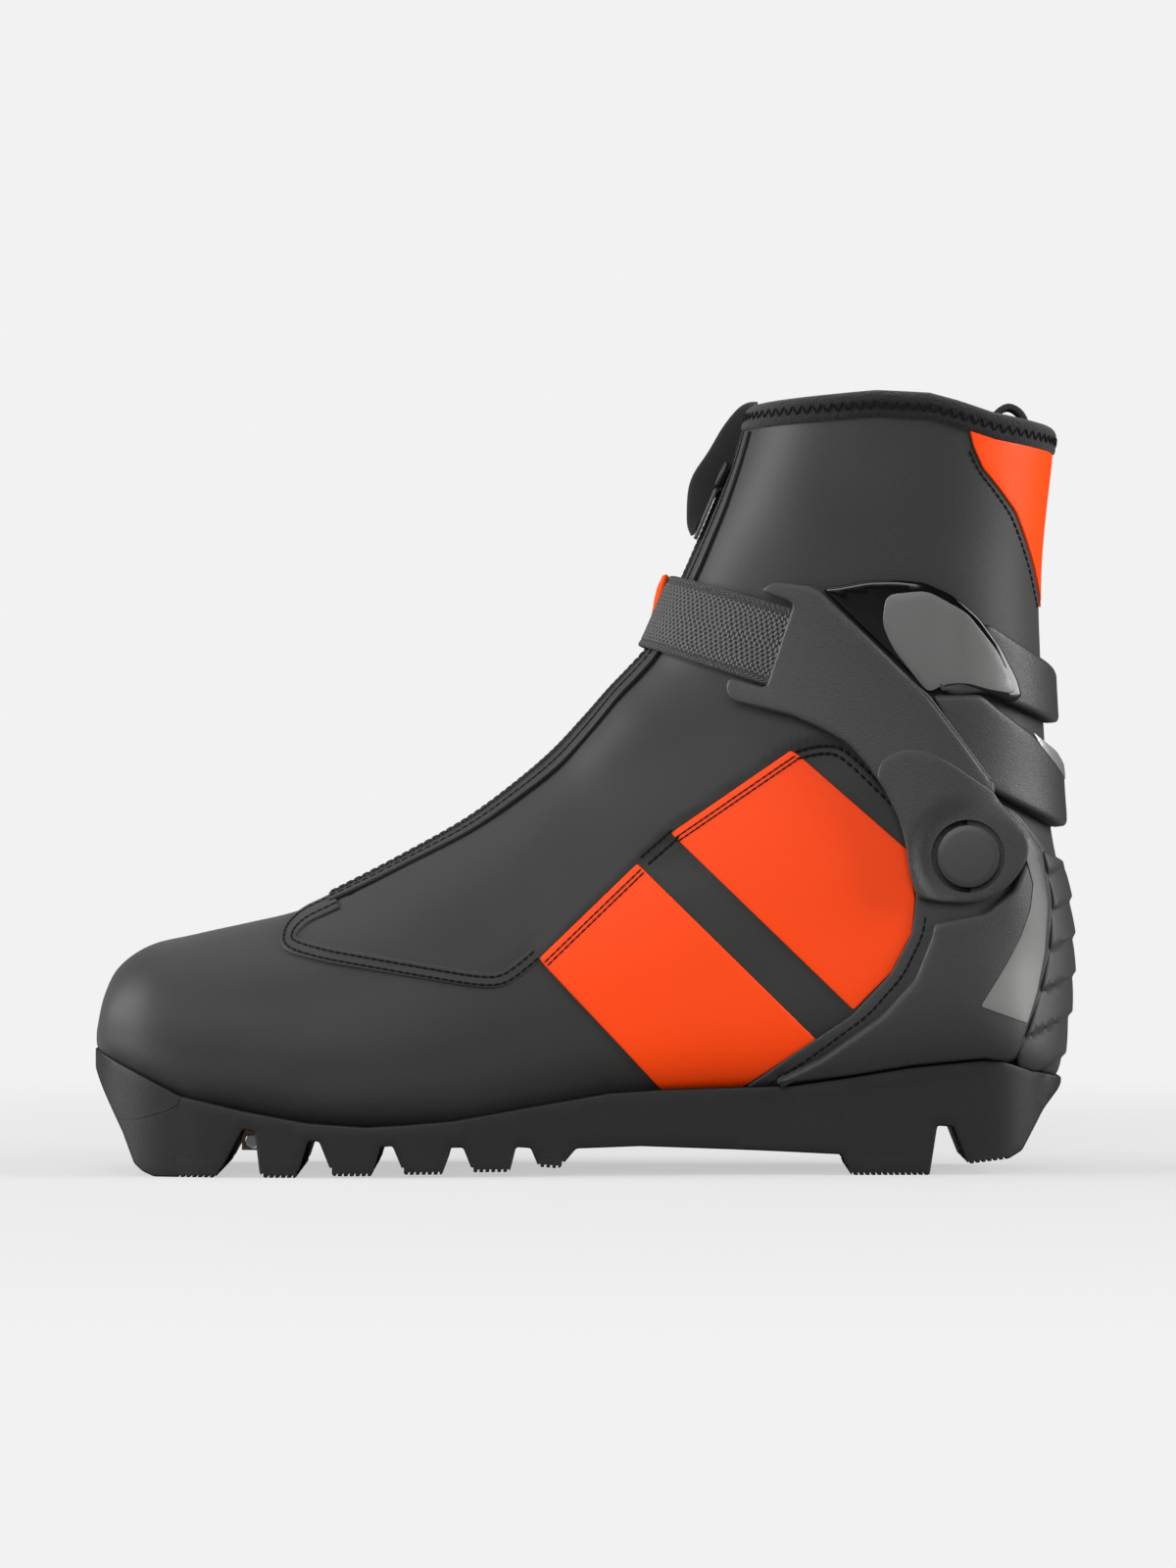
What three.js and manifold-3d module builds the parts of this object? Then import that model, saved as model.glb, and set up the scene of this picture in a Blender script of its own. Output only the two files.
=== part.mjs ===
// Cross-country ski boot, right foot: flexing sole with two steel binding axles, softshell upper,
// moulded heel counter, and a plastic cuff that hinges at the ankle and carries a hook-and-loop strap.
// Millimetres. +X runs from toe to heel, +Y points to the outer side of the foot, +Z up.
// The origin lies on the ground below the middle of the boot.

import * as THREE from 'three';
import { mergeVertices } from 'three/addons/utils/BufferGeometryUtils.js';
import Module from 'manifold-3d';

const wasm = await Module();
wasm.setup();

// ---------------------------------------------------------------- driving dimensions
const FIT = 0.3;                    // gap between two pieces that lie against each other
const SECTION_POINTS = 16;          // points round each section of the boot's form
const FAR = 400;                    // reach of a cutting prism past the boot

const SOFTSHELL = 2.0;              // outer fabric
const LINING = 3.2;                 // padded sock lining
const BOARD = 1.8;                  // lasting board under the foot
const INSOLE = 3.4;
const OVERLAY_LIFT = 0.7;           // room under the loose upper part of the overlays
const OVERLAY = 0.7;                // orange quarter panels, heel tab
const COUNTER_FLOOR = 1.5;          // heel counter wall below the cuff arm
const COUNTER_WALL = 4.7;           // heel counter wall elsewhere
const HEEL_WRAP = 3.0;
const CUFF_LIFT = 3.8;              // form surface to the inside of the cuff arm
const CUFF_WALL = 3.0;
const BAND_LIFT = 1.6;              // form surface to the inside of the cuff's rear bands
const BAND_WALL = 3.2;
const BINDING_HEIGHT = 8.4;
const BINDING_WALL = 1.2;

const PIVOT = { x: 115.2, z: 97.2 };     // ankle hinge axis, along Y
const PIN_RADIUS = 3.0;
const CAP_RADIUS = 9.6;
const CAP_HEIGHT = 2.2;
const WASHER_RADIUS = 7.0;
const WASHER_HEIGHT = 1.4;
const ARM_END_RADIUS = 13.8;
const ARM_SWEEP_GAP = 1.4;               // counter pocket wall to the round end of the arm

// The upper parts between shaft and shoe: each edge is a straight line seen from the side.
const NECK = 3.0;                        // half height of the gusset beside the hinge
const SHAFT_FRONT_ANGLE = 28;            // degrees above the horizontal, in front of the hinge
const SHOE_FRONT_ANGLE = 11;
const SHAFT_REAR_ANGLE = 13.5;
const SHOE_REAR_ANGLE = -4;

const STRAP_THICKNESS = 1.6;
const STRAP_WIDTH = 25;
const TREAD_TOP = 6.0;                   // rubber lugs reach this high above the ground
const SOLE_WALL = 1.5;                   // sole edge past the upper
const AXLE_RADIUS = 2.0;
const TOE_AXLE = { x: -133.5, z: 5.4, half: 18 };
const BALL_AXLE = { x: -102.9, z: 9.6, half: 19.4 };
const SLOT_HALF = 14;                    // half width of the binding slot round each axle
const SHANK = { half: 15, thick: 2.2, from: -8, to: 82 };

const FLAP_WIDTH = 17;
const FLAP_THICKNESS = 1.2;
const LOOP_WIDTH = 12;
const LOOP_THICKNESS = 1.3;

// Sections of the form, toe to collar. Each lies in a plane through a point of the upper rail and
// a point of the lower rail: [rail x, rail z, base x, base z, half width, level of the widest
// place (0 base, 1 rail), squareness below it, squareness above it, sideways lean]
const SECTIONS = [
  [-150.6, 46.0, -150.6, 37.6, 11.5, 0.45, 2.4, 2.4, -4.5],
  [-148.4, 55.2, -148.0, 34.5, 21.5, 0.42, 3.0, 2.4, -4.5],
  [-144.0, 63.2, -142.5, 31.2, 28.8, 0.38, 3.6, 2.4, -4.2],
  [-134.5, 69.5, -133.0, 26.6, 36.6, 0.35, 4.0, 2.4, -3.6],
  [-121.0, 72.8, -119.0, 20.6, 42.4, 0.33, 4.4, 2.3, -2.8],
  [-104.1, 76.5, -101.5, 17.3, 46.6, 0.32, 4.6, 2.2, -1.6],
  [-88.2, 80.6, -83.0, 13.8, 48.6, 0.31, 4.8, 2.1, -0.6],
  [-72.5, 88.0, -64.0, 12.6, 49.4, 0.30, 4.8, 2.0, 0],
  [-54.5, 97.4, -43.0, 13.8, 47.8, 0.29, 4.8, 2.0, 0],
  [-36.6, 107.6, -19.0, 17.8, 44.2, 0.29, 4.6, 2.0, 0],
  [-22.0, 118.3, 7.0, 22.0, 40.6, 0.30, 4.4, 2.1, 0],
  [-10.3, 128.3, 38.0, 23.6, 38.0, 0.33, 4.2, 2.2, 0],
  [-0.5, 138.7, 72.0, 25.4, 36.8, 0.36, 4.6, 2.4, 0],
  [7.5, 147.8, 103.0, 29.4, 36.4, 0.38, 4.6, 2.6, 0],
  [14.0, 154.6, 127.0, 30.2, 36.2, 0.38, 3.8, 2.7, 0],
  [20.0, 161.6, 141.6, 29.8, 36.0, 0.38, 2.7, 2.8, 0],
  [25.2, 171.0, 146.4, 47.5, 35.8, 0.40, 2.3, 2.8, 0],
  [29.4, 180.4, 147.8, 67.0, 35.6, 0.42, 2.3, 2.7, 0],
  [33.0, 188.5, 146.2, 87.0, 35.6, 0.44, 2.3, 2.6, 0],
  [36.6, 197.0, 142.6, 107.0, 36.0, 0.45, 2.3, 2.5, 0],
  [40.2, 205.4, 141.0, 131.0, 37.0, 0.46, 2.3, 2.4, 0],
  [43.2, 212.4, 139.6, 158.0, 37.8, 0.48, 2.3, 2.4, 0],
  [46.2, 220.4, 139.4, 188.0, 38.6, 0.50, 2.3, 2.4, 0],
  [50.4, 236.2, 143.5, 226.5, 39.6, 0.50, 2.3, 2.3, 0],
  [54.2, 252.0, 146.0, 246.0, 40.0, 0.50, 2.3, 2.3, 0],
];
const LINING_FIRST = 2;              // first section of the hollow inside, behind the stiff toe

// Sole seen from the side: ground line from toe to heel, then its edge along the upper.
const SOLE_UNDERSIDE = [
  [-151.1, 32.1], [-141.6, 13.2], [-138.0, 3.9], [-135.3, 1.5], [-131.7, 0], [-112.8, 0],
  [-111.3, 1.8], [-104.4, 14.7], [-100.8, 13.8], [-99.3, 1.2], [-98.1, 0], [-88.2, 0],
  [-84.6, 11.0], [-81.3, 11.0], [-77.1, 0.5], [-65.4, 0.5], [-62.7, 9.3], [-59.1, 9.6],
  [-55.5, 0.9], [-44.1, 0.9], [-41.7, 9.0], [-37.8, 9.0], [-34.8, 1.5], [-23.7, 1.5],
  [-21.8, 9.0], [-17.4, 8.7], [-15.0, 3.0], [-8.7, 2.4], [-3.6, 8.4], [15.9, 9.0],
  [52.5, 7.5], [77.1, 6.3], [80.1, 0], [104.1, 0], [106.4, 15.0], [111.3, 14.7],
  [115.8, 3.3], [128.4, 4.8], [132.6, 7.2], [139.2, 18.9], [145.6, 27.2],
];
const SOLE_EDGE = [
  [-151.1, 38.4], [-143.4, 34.5], [-133.5, 29.7], [-123.6, 24.6], [-104.1, 20.1], [-84.6, 16.5],
  [-67.2, 15.3], [-55.5, 15.9], [-40.8, 17.1], [-16.5, 21.3], [6.6, 25.2], [22.2, 26.1],
  [61.8, 27.3], [80.1, 30.0], [98.4, 33.0], [120.6, 35.1], [127.5, 34.2], [135.9, 31.5],
  [145.6, 28.2],
];
// Rubber lugs: [name, front, rear], with a notch of the sole between neighbours.
const LUGS = [
  ['tread_toe', -125.0, -106.0], ['tread_ball_1', -101.5, -83.0], ['tread_ball_2', -83.0, -61.0],
  ['tread_ball_3', -61.0, -40.0], ['tread_ball_4', -40.0, -19.5], ['tread_ball_5', -19.5, -3.0],
  ['tread_heel_front', 77.0, 108.0], ['tread_heel_rear', 112.0, 132.0],
];
const GUIDE_GROOVE = { y: 12.5, width: 7, depth: 4.2 };   // two lengthwise grooves for the binding

// Side-view outlines of the upper's pieces.
const PANEL_FRONT = [[-15.0, 66.0], [15.0, 94.8], [67.4, 42.6], [45.2, 27.6], [22.2, 26.7]];
const PANEL_REAR = [[25.2, 104.1], [61.8, 129.3], [64.2, 127.8], [95.7, 98.4], [98.4, 84.0],
  [97.2, 74.4], [91.0, 63.0], [80.0, 52.2]];
const COUNTER_FRONT = [[48.0, 27.6], [61.8, 36.9], [80.1, 48.9], [92.1, 61.8], [98.4, 73.8], [99.6, 84.0]];
const COUNTER_REAR = [[122.1, 114.9], [129.6, 110.4], [135.3, 103.5], [138.9, 99.0], [141.6, 85.5],
  [141.9, 82.5], [140.7, 67.2], [137.7, 54.9], [134.1, 45.0], [130.5, 36.6]];
const POCKET_FLOOR = [[121.5, 80.1], [100.8, 76.5], [60.0, 76.5]];
const STRIPE = [[129.6, 101.7], [133.2, 96.3], [135.6, 88.5], [134.6, 81.0], [131.4, 72.6],
  [126.9, 64.2], [119.1, 51.6], [134.0, 46.0], [137.4, 55.6], [140.2, 67.4], [141.3, 82.5],
  [141.0, 85.3], [138.4, 98.6], [134.9, 103.0]];
const ARM = [[54.0, 177.0], [56.4, 179.4], [59.4, 180.3], [70.2, 179.1], [84.9, 164.4],
  [103.4, 145.8], [112.5, 132.9], [122.4, 117.6], [121.8, 114.6], [125.4, 108.6],
  [102.6, 83.7], [99.6, 84.6], [97.2, 93.3], [96.3, 100.8], [94.2, 108.6], [89.7, 117.6],
  [84.3, 125.4], [78.9, 131.4], [72.0, 135.3], [62.7, 139.5], [45.3, 143.7], [43.8, 145.8],
  [43.5, 148.5], [44.4, 151.2]];
const STRAP_NOTCH = [[64.2, 174.2], [55.2, 147.4], [36.0, 153.0], [47.0, 180.0]];
const UPPER_BAND = [[105.0, 149.2], [112.2, 150.4], [119.4, 168.3], [139.8, 154.5], [146.0, 152.0],
  [146.0, 143.0], [138.0, 138.0], [119.1, 147.0], [110.0, 146.0]];
const LOWER_BAND = [[104.0, 144.8], [119.1, 145.4], [122.4, 142.2], [132.3, 134.4], [138.0, 129.0],
  [152.0, 117.0], [151.0, 107.0], [143.7, 105.3], [122.4, 116.1], [116.0, 120.0]];
const WINDOW = [[70.9, 179.2], [75.9, 179.2], [84.9, 180.9], [92.7, 181.2], [101.7, 180.3],
  [109.5, 176.7], [117.0, 169.8], [118.7, 168.6], [111.3, 151.2], [106.4, 150.4], [101.6, 149.2],
  [85.4, 164.9]];
const REFLECTOR = [[132.0, 134.9], [138.4, 129.4], [152.0, 117.6], [152.0, 114.6], [134.0, 130.8]];
const STRAP_ENDS = { upper: [62.4, 172.5], lower: [52.5, 149.4] };
const STRAP_FRONT = { upper: [23.0, 184.4], lower: [15.0, 161.8] };
const COLLAR_TOP = [[40.0, 236.0], [51.0, 236.4], [87.3, 238.8], [103.8, 237.9], [113.1, 235.5],
  [123.9, 232.2], [143.7, 228.9], [160.0, 226.4]];
const HEEL_TAB = [[115.8, 226.2], [117.3, 221.1], [120.0, 215.1], [125.1, 209.1], [130.5, 201.9],
  [133.8, 193.8], [136.5, 186.0], [138.3, 179.1], [139.2, 173.4], [160.0, 173.4]];
const FLAP_PROFILE = [[54.5, 238.7], [50.2, 238.5], [46.4, 235.9], [42.3, 229.6], [36.3, 220.8],
  [32.1, 213.3], [30.4, 205.0], [32.0, 197.0]];
const LACE_ROWS = { first: 7, last: 9.4, crossings: 5, half: 8.0, depth: 4.1, radius: 1.0 };

// ---------------------------------------------------------------- form of the boot
const power = (value, exponent) => Math.sign(value) * Math.abs(value) ** exponent;

function sectionPoint([tx, tz, bx, bz, half, level, squareBelow, squareAbove, lean], column) {
  const turn = (column / SECTION_POINTS) * Math.PI * 2;
  const up = Math.cos(turn);
  const square = up >= 0 ? squareAbove : squareBelow;
  const reach = power(up, 2 / square);
  const along = level + reach * (up >= 0 ? 1 - level : level);
  const across = half * power(Math.sin(turn), 2 / square);
  return new THREE.Vector3(bx + (tx - bx) * along, lean + across, bz + (tz - bz) * along);
}

const FORM = SECTIONS.map((row) =>
  Array.from({ length: SECTION_POINTS }, (_, column) => sectionPoint(row, column)));

function formNormal(row, column) {
  const wrap = (c) => (c + SECTION_POINTS) % SECTION_POINTS;
  const before = FORM[Math.max(row - 1, 0)][column];
  const after = FORM[Math.min(row + 1, FORM.length - 1)][column];
  const along = after.clone().sub(before);
  const round = FORM[row][wrap(column + 1)].clone().sub(FORM[row][wrap(column - 1)]);
  return along.cross(round).normalize();
}

const NORMALS = FORM.map((ring, row) => ring.map((_, column) => formNormal(row, column)));

// The form's surface moved outwards by a distance, or by a function of the point that gives one.
function offsetRings(distance, first = 0) {
  const depth = typeof distance === 'function' ? distance : () => distance;
  return FORM.slice(first).map((ring, index) => ring.map((point, column) => {
    const normal = NORMALS[first + index][column];
    return point.clone().addScaledVector(normal, depth(point));
  }));
}

function ringSolid(rings) {
  const size = rings[0].length;
  const points = rings.flat();
  const faces = [];
  for (let row = 0; row + 1 < rings.length; row += 1) {
    for (let column = 0; column < size; column += 1) {
      const next = (column + 1) % size;
      const a = row * size + column;
      const b = row * size + next;
      faces.push(a, b + size, b, a, a + size, b + size);
    }
  }
  for (const row of [0, rings.length - 1]) {
    const centre = points.length;
    const middle = new THREE.Vector3();
    rings[row].forEach((point) => middle.addScaledVector(point, 1 / size));
    points.push(middle);
    for (let column = 0; column < size; column += 1) {
      const a = row * size + column;
      const b = row * size + ((column + 1) % size);
      if (row === 0) faces.push(centre, a, b);
      else faces.push(centre, b, a);
    }
  }
  const geometry = new THREE.BufferGeometry().setFromPoints(points);
  geometry.setIndex(faces);
  return solid(geometry);
}

// ---------------------------------------------------------------- solids
function solid(geometry) {
  const bare = geometry.clone();
  bare.deleteAttribute('normal');
  bare.deleteAttribute('uv');
  const merged = mergeVertices(bare, 1e-4);
  return new wasm.Manifold(new wasm.Mesh({
    numProp: 3,
    vertProperties: new Float32Array(merged.attributes.position.array),
    triVerts: new Uint32Array(merged.index.array),
  }));
}

function geometryOf(manifold) {
  const mesh = manifold.getMesh();
  const geometry = new THREE.BufferGeometry();
  geometry.setAttribute('position', new THREE.BufferAttribute(new Float32Array(mesh.vertProperties), 3));
  geometry.setIndex(new THREE.BufferAttribute(new Uint32Array(mesh.triVerts), 1));
  geometry.computeVertexNormals();
  return geometry;
}

// A side-view outline carried across the boot from one y to another.
function prism(outline, low = -FAR, high = FAR) {
  const shape = new THREE.Shape(outline.map(([x, z]) => new THREE.Vector2(x, z)));
  const geometry = new THREE.ExtrudeGeometry(shape, { depth: high - low, bevelEnabled: false });
  geometry.rotateX(Math.PI / 2);
  geometry.translate(0, high, 0);
  return solid(geometry);
}

// A plan outline carried upwards.
function column(outline, low, high) {
  const shape = new THREE.Shape(outline.map(([x, y]) => new THREE.Vector2(x, y)));
  const geometry = new THREE.ExtrudeGeometry(shape, { depth: high - low, bevelEnabled: false });
  geometry.translate(0, 0, low);
  return solid(geometry);
}

function block([x0, y0, z0], [x1, y1, z1]) {
  const geometry = new THREE.BoxGeometry(x1 - x0, y1 - y0, z1 - z0);
  geometry.translate((x0 + x1) / 2, (y0 + y1) / 2, (z0 + z1) / 2);
  return solid(geometry);
}

// A rod along Y.
function rod(radius, { x, z }, low, high, sides = 24) {
  const geometry = new THREE.CylinderGeometry(radius, radius, high - low, sides);
  geometry.translate(x, (low + high) / 2, z);
  return solid(geometry);
}

// A turned piece about the ankle hinge; the profile lists [radius, distance from the middle plane].
function turned(profile, side) {
  const points = profile.map(([radius, y]) => new THREE.Vector2(radius, y));
  const geometry = new THREE.LatheGeometry(points, 24);
  if (side < 0) geometry.rotateX(Math.PI);
  geometry.translate(PIVOT.x, 0, PIVOT.z);
  return solid(geometry);
}

const onForm = (distance, first = 0) => ringSolid(offsetRings(distance, first));

// A layer of the upper between two distances from the form, cut to a side-view outline.
function layer(inner, outer, outline, first = 0) {
  const shell = onForm(outer).subtract(onForm(inner, first));
  return outline ? shell.intersect(prism(outline)) : shell;
}

// Distance of the form's side from the middle plane at a place seen from the side.
function sideReach(x, z, distance = 0) {
  const rings = offsetRings(distance);
  let reach = 0;
  for (let row = 0; row + 1 < rings.length; row += 1) {
    for (let c = 0; c < SECTION_POINTS / 2; c += 1) {
      const [a, b] = [rings[row][c], rings[row][c + 1]];
      const [d, e] = [rings[row + 1][c], rings[row + 1][c + 1]];
      for (const triangle of [[a, b, e], [a, e, d]]) {
        const [p, q, r] = triangle;
        const area = (q.x - p.x) * (r.z - p.z) - (r.x - p.x) * (q.z - p.z);
        if (Math.abs(area) < 1e-9) continue;
        const v = ((x - p.x) * (r.z - p.z) - (r.x - p.x) * (z - p.z)) / area;
        const w = ((q.x - p.x) * (z - p.z) - (x - p.x) * (q.z - p.z)) / area;
        if (v >= -1e-6 && w >= -1e-6 && v + w <= 1 + 1e-6) {
          reach = Math.max(reach, p.y + (q.y - p.y) * v + (r.y - p.y) * w);
        }
      }
    }
  }
  return reach;
}

const interpolate = (line, x) => {
  const next = line.findIndex(([px]) => px >= x);
  if (next <= 0) return next === 0 ? line[0][1] : line[line.length - 1][1];
  const [[x0, z0], [x1, z1]] = [line[next - 1], line[next]];
  return z0 + ((z1 - z0) * (x - x0)) / (x1 - x0);
};

const raised = (outline, lift) => outline.map(([x, z]) => [x, z + lift]);

// ---------------------------------------------------------------- regions seen from the side
const ray = (angle, direction, lift) => {
  const radians = THREE.MathUtils.degToRad(angle);
  return [PIVOT.x + direction * Math.cos(radians) * FAR, PIVOT.z + lift + Math.sin(radians) * FAR];
};

const SHOE_REGION = [
  [PIVOT.x, PIVOT.z - NECK], ray(SHOE_FRONT_ANGLE, -1, -NECK), [-FAR, -FAR], [FAR, -FAR],
  ray(SHOE_REAR_ANGLE, 1, -NECK),
];
const SHAFT_REGION = [
  [PIVOT.x, PIVOT.z + NECK], ray(SHAFT_REAR_ANGLE, 1, NECK), [FAR, FAR], [-FAR, FAR],
  ray(SHAFT_FRONT_ANGLE, -1, NECK),
];
const GUSSET_EDGE = NECK - FIT;
const INSTEP_REGION = [
  [PIVOT.x, PIVOT.z + GUSSET_EDGE], ray(SHAFT_FRONT_ANGLE, -1, GUSSET_EDGE),
  ray(SHOE_FRONT_ANGLE, -1, -GUSSET_EDGE), [PIVOT.x, PIVOT.z - GUSSET_EDGE],
];
const HEEL_REGION = [
  [PIVOT.x, PIVOT.z + GUSSET_EDGE], [PIVOT.x, PIVOT.z - GUSSET_EDGE],
  ray(SHOE_REAR_ANGLE, 1, -GUSSET_EDGE), ray(SHAFT_REAR_ANGLE, 1, GUSSET_EDGE),
];

const BELOW_COLLAR = [...raised(COLLAR_TOP, -BINDING_HEIGHT - FIT), [FAR, -FAR], [-FAR, -FAR],
  [-FAR, 236.0 - BINDING_HEIGHT - FIT]];
const AT_COLLAR = [...COLLAR_TOP, ...raised(COLLAR_TOP, -BINDING_HEIGHT).reverse()];

const LINING_OUTER = -SOFTSHELL - FIT;
const LINING_INNER = LINING_OUTER - LINING;
const BOARD_INNER = LINING_OUTER - BOARD;

// ---------------------------------------------------------------- scene graph
const group = new THREE.Group();

function material(color, roughness, metalness = 0) {
  return new THREE.MeshStandardMaterial({ color, roughness, metalness });
}

const FINISH = {
  softshell: material(0x424341, 0.85),
  knit: material(0x1d1d1e, 0.95),
  plastic: material(0x484848, 0.6),
  gloss: material(0x101011, 0.12),
  sole: material(0x303130, 0.55),
  rubber: material(0x262727, 0.8),
  orange: material(0xff3c0f, 0.6),
  webbing: material(0x6a6b6a, 0.9),
  reflective: material(0xa8aaa6, 0.4),
  steel: material(0xb9bbbd, 0.3, 1),
  brass: material(0x7a5a3c, 0.45, 0.9),
  board: material(0xb8a98a, 0.9),
};

function add(name, manifold, finish) {
  const mesh = new THREE.Mesh(geometryOf(manifold), FINISH[finish]);
  mesh.name = name;
  group.add(mesh);
  return mesh;
}

// ---------------------------------------------------------------- sole
function solePlan() {
  const xs = [];
  for (let x = -147; x <= 139; x += x < -125 || x > 118 ? 5 : 16) xs.push(x);
  const halfAt = (x) => sideReach(x, interpolate(SOLE_EDGE, x) + 3) + SOLE_WALL;
  const leanAt = (x) => interpolate(SECTIONS.slice(0, 8).map((row) => [row[2], row[8]]), x);
  const toe = [-151.1, 11.0];
  const heel = [[142.6, 18.0], [145.6, 9.0]];
  const outer = [toe, ...xs.map((x) => [x, halfAt(x)]), ...heel];
  const inner = [[toe[0], toe[1] - 9], ...xs.map((x) => [x, halfAt(x) - 2 * leanAt(x)]), ...heel];
  outer[0][1] = toe[1] - 4.5;
  inner[0][1] = toe[1] + 4.5;
  return [...outer, ...inner.map(([x, y]) => [x, -y]).reverse()];
}

function soleBlock() {
  const side = prism([...SOLE_UNDERSIDE, ...SOLE_EDGE.slice().reverse()]);
  let sole = side.intersect(column(solePlan(), -1, 60)).subtract(onForm(FIT));
  for (const y of [-GUIDE_GROOVE.y, GUIDE_GROOVE.y]) {
    sole = sole.subtract(block([-99, y - GUIDE_GROOVE.width / 2, -1], [-2, y + GUIDE_GROOVE.width / 2,
      GUIDE_GROOVE.depth]));
    sole = sole.subtract(block([76, y - GUIDE_GROOVE.width / 2, -1], [140, y + GUIDE_GROOVE.width / 2,
      GUIDE_GROOVE.depth]));
  }
  return sole;
}

function bindingSlot() {
  const rounded = rod(8.2, { x: TOE_AXLE.x, z: TOE_AXLE.z }, -SLOT_HALF, SLOT_HALF);
  return rounded.add(block([TOE_AXLE.x - 8.2, -SLOT_HALF, -5], [TOE_AXLE.x + 8.2, SLOT_HALF, TOE_AXLE.z]));
}

const BUMPER_LINE = [[-152, 17.0], [-137.1, 17.4], [-127.8, 20.1], [-124.5, 21.9], [-122.8, 24.4]];
const BUMPER = [...BUMPER_LINE, [-122.8, 60], [-160, 60], [-160, 17.0]];

function shankLine(lift) {
  const xs = [SHANK.from, 12, 40, 62, SHANK.to];
  const base = SECTIONS.slice(8, 15).map((row) => [row[2], row[3]]);
  return xs.map((x) => [x, interpolate(base, x) + lift]);
}

function shankOutline(top, bottom, end) {
  const upper = shankLine(top);
  const lower = shankLine(bottom).reverse();
  upper[0][0] -= end;
  lower[lower.length - 1][0] -= end;
  upper[upper.length - 1][0] += end;
  lower[0][0] += end;
  return [...upper, ...lower];
}

const SHANK_TOP = -2 * FIT - 0.2;
const whole = soleBlock();
const bumperPrism = prism(BUMPER);
const shankPocket = prism(shankOutline(8, SHANK_TOP - SHANK.thick - FIT, FIT), -SHANK.half - FIT, SHANK.half + FIT);
let outsole = whole
  .subtract(prism(BUMPER.map(([x, z]) => [x + FIT, z - FIT])))
  .subtract(bindingSlot())
  .subtract(rod(AXLE_RADIUS + FIT, TOE_AXLE, -TOE_AXLE.half - FIT, TOE_AXLE.half + FIT))
  .subtract(shankPocket);
for (const [name, front, rear] of LUGS) {
  const reach = block([front, -60, -2], [rear, 60, TREAD_TOP]);
  add(name, whole.intersect(reach), 'rubber');
  outsole = outsole.subtract(block([front - FIT, -61, -3], [rear + FIT, 61, TREAD_TOP + FIT]));
}
add('outsole', outsole, 'sole');
add('toe_bumper', whole.intersect(bumperPrism), 'rubber');
add('shank', prism(shankOutline(SHANK_TOP, SHANK_TOP - SHANK.thick, 0), -SHANK.half, SHANK.half), 'brass');
add('toe_axle', rod(AXLE_RADIUS, TOE_AXLE, -TOE_AXLE.half, TOE_AXLE.half, 16), 'steel');
add('ball_axle', rod(AXLE_RADIUS, BALL_AXLE, -BALL_AXLE.half, BALL_AXLE.half, 16), 'steel');

function axleCarrier() {
  const cheek = 5.4;
  const roof = interpolate([[-104.4, 14.7], [-100.8, 13.8]], -101) - FIT;
  const [front, rear] = [-106.0, -100.6];
  const body = block([front, -SLOT_HALF - cheek, 7.0], [rear, SLOT_HALF + cheek, roof]);
  const opening = block([front - 1, -SLOT_HALF, 5], [rear + 1, SLOT_HALF, BALL_AXLE.z + AXLE_RADIUS + 0.6]);
  return body.subtract(opening).subtract(rod(AXLE_RADIUS + FIT, BALL_AXLE, -FAR, FAR));
}
const notchSide = prism([[-110.3, 1.8], [-104.4, 14.7 - FIT], [-100.9, 13.8 - FIT], [-99.6, 1.2]]);
add('axle_carrier', axleCarrier().intersect(notchSide), 'brass');

// ---------------------------------------------------------------- upper, lower part
const underfoot = (lift) => {
  const base = SECTIONS.slice(1, 16).map((row) => [row[2], row[3] + lift]);
  return [[-FAR, base[0][1]], ...base, [FAR, base[base.length - 1][1]], [FAR, -FAR], [-FAR, -FAR]];
};

const pinY = (distance) => sideReach(PIVOT.x, PIVOT.z, distance);
const SIDE_Y = pinY(0);
const HEAD_Y = SIDE_Y + CUFF_LIFT + CUFF_WALL;          // outside of the cuff arm at the hinge
const flatReach = (radius) => Math.min(...Array.from({ length: 12 }, (_, step) => sideReach(
  PIVOT.x + radius * Math.cos((step * Math.PI) / 6), PIVOT.z + radius * Math.sin((step * Math.PI) / 6))));
const WASHER_Y = flatReach(WASHER_RADIUS + FIT) - FIT - WASHER_HEIGHT;   // inside of the backing washer
const washerHole = rod(WASHER_RADIUS + FIT, PIVOT, -FAR, FAR);
const linerRecess = (side) => {
  const [low, high] = side > 0 ? [WASHER_Y - FIT, FAR] : [-FAR, -WASHER_Y + FIT];
  return rod(WASHER_RADIUS + FIT, PIVOT, low, high);
};
const recessed = (manifold) => manifold.subtract(linerRecess(1)).subtract(linerRecess(-1));

const softshell = onForm(0).subtract(onForm(-SOFTSHELL));
const padding = onForm(LINING_OUTER, 1).subtract(onForm(LINING_INNER, LINING_FIRST));
const BOARD_LIFT = BOARD + 3.2;
const boardBlank = onForm(LINING_OUTER, 1).subtract(onForm(BOARD_INNER, LINING_FIRST));
const boardSeat = onForm(0).subtract(onForm(BOARD_INNER - FIT, LINING_FIRST)).intersect(prism(underfoot(BOARD_LIFT + FIT)));
const SLOT_FRONT = SECTIONS[LACE_ROWS.first - 1][0];
const SLOT_REAR = -24;
const laceSlot = block([SLOT_FRONT, -14, 60], [SLOT_REAR, 14, 160])
  .intersect(onForm(0).subtract(onForm(-16, LINING_FIRST)));

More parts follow.
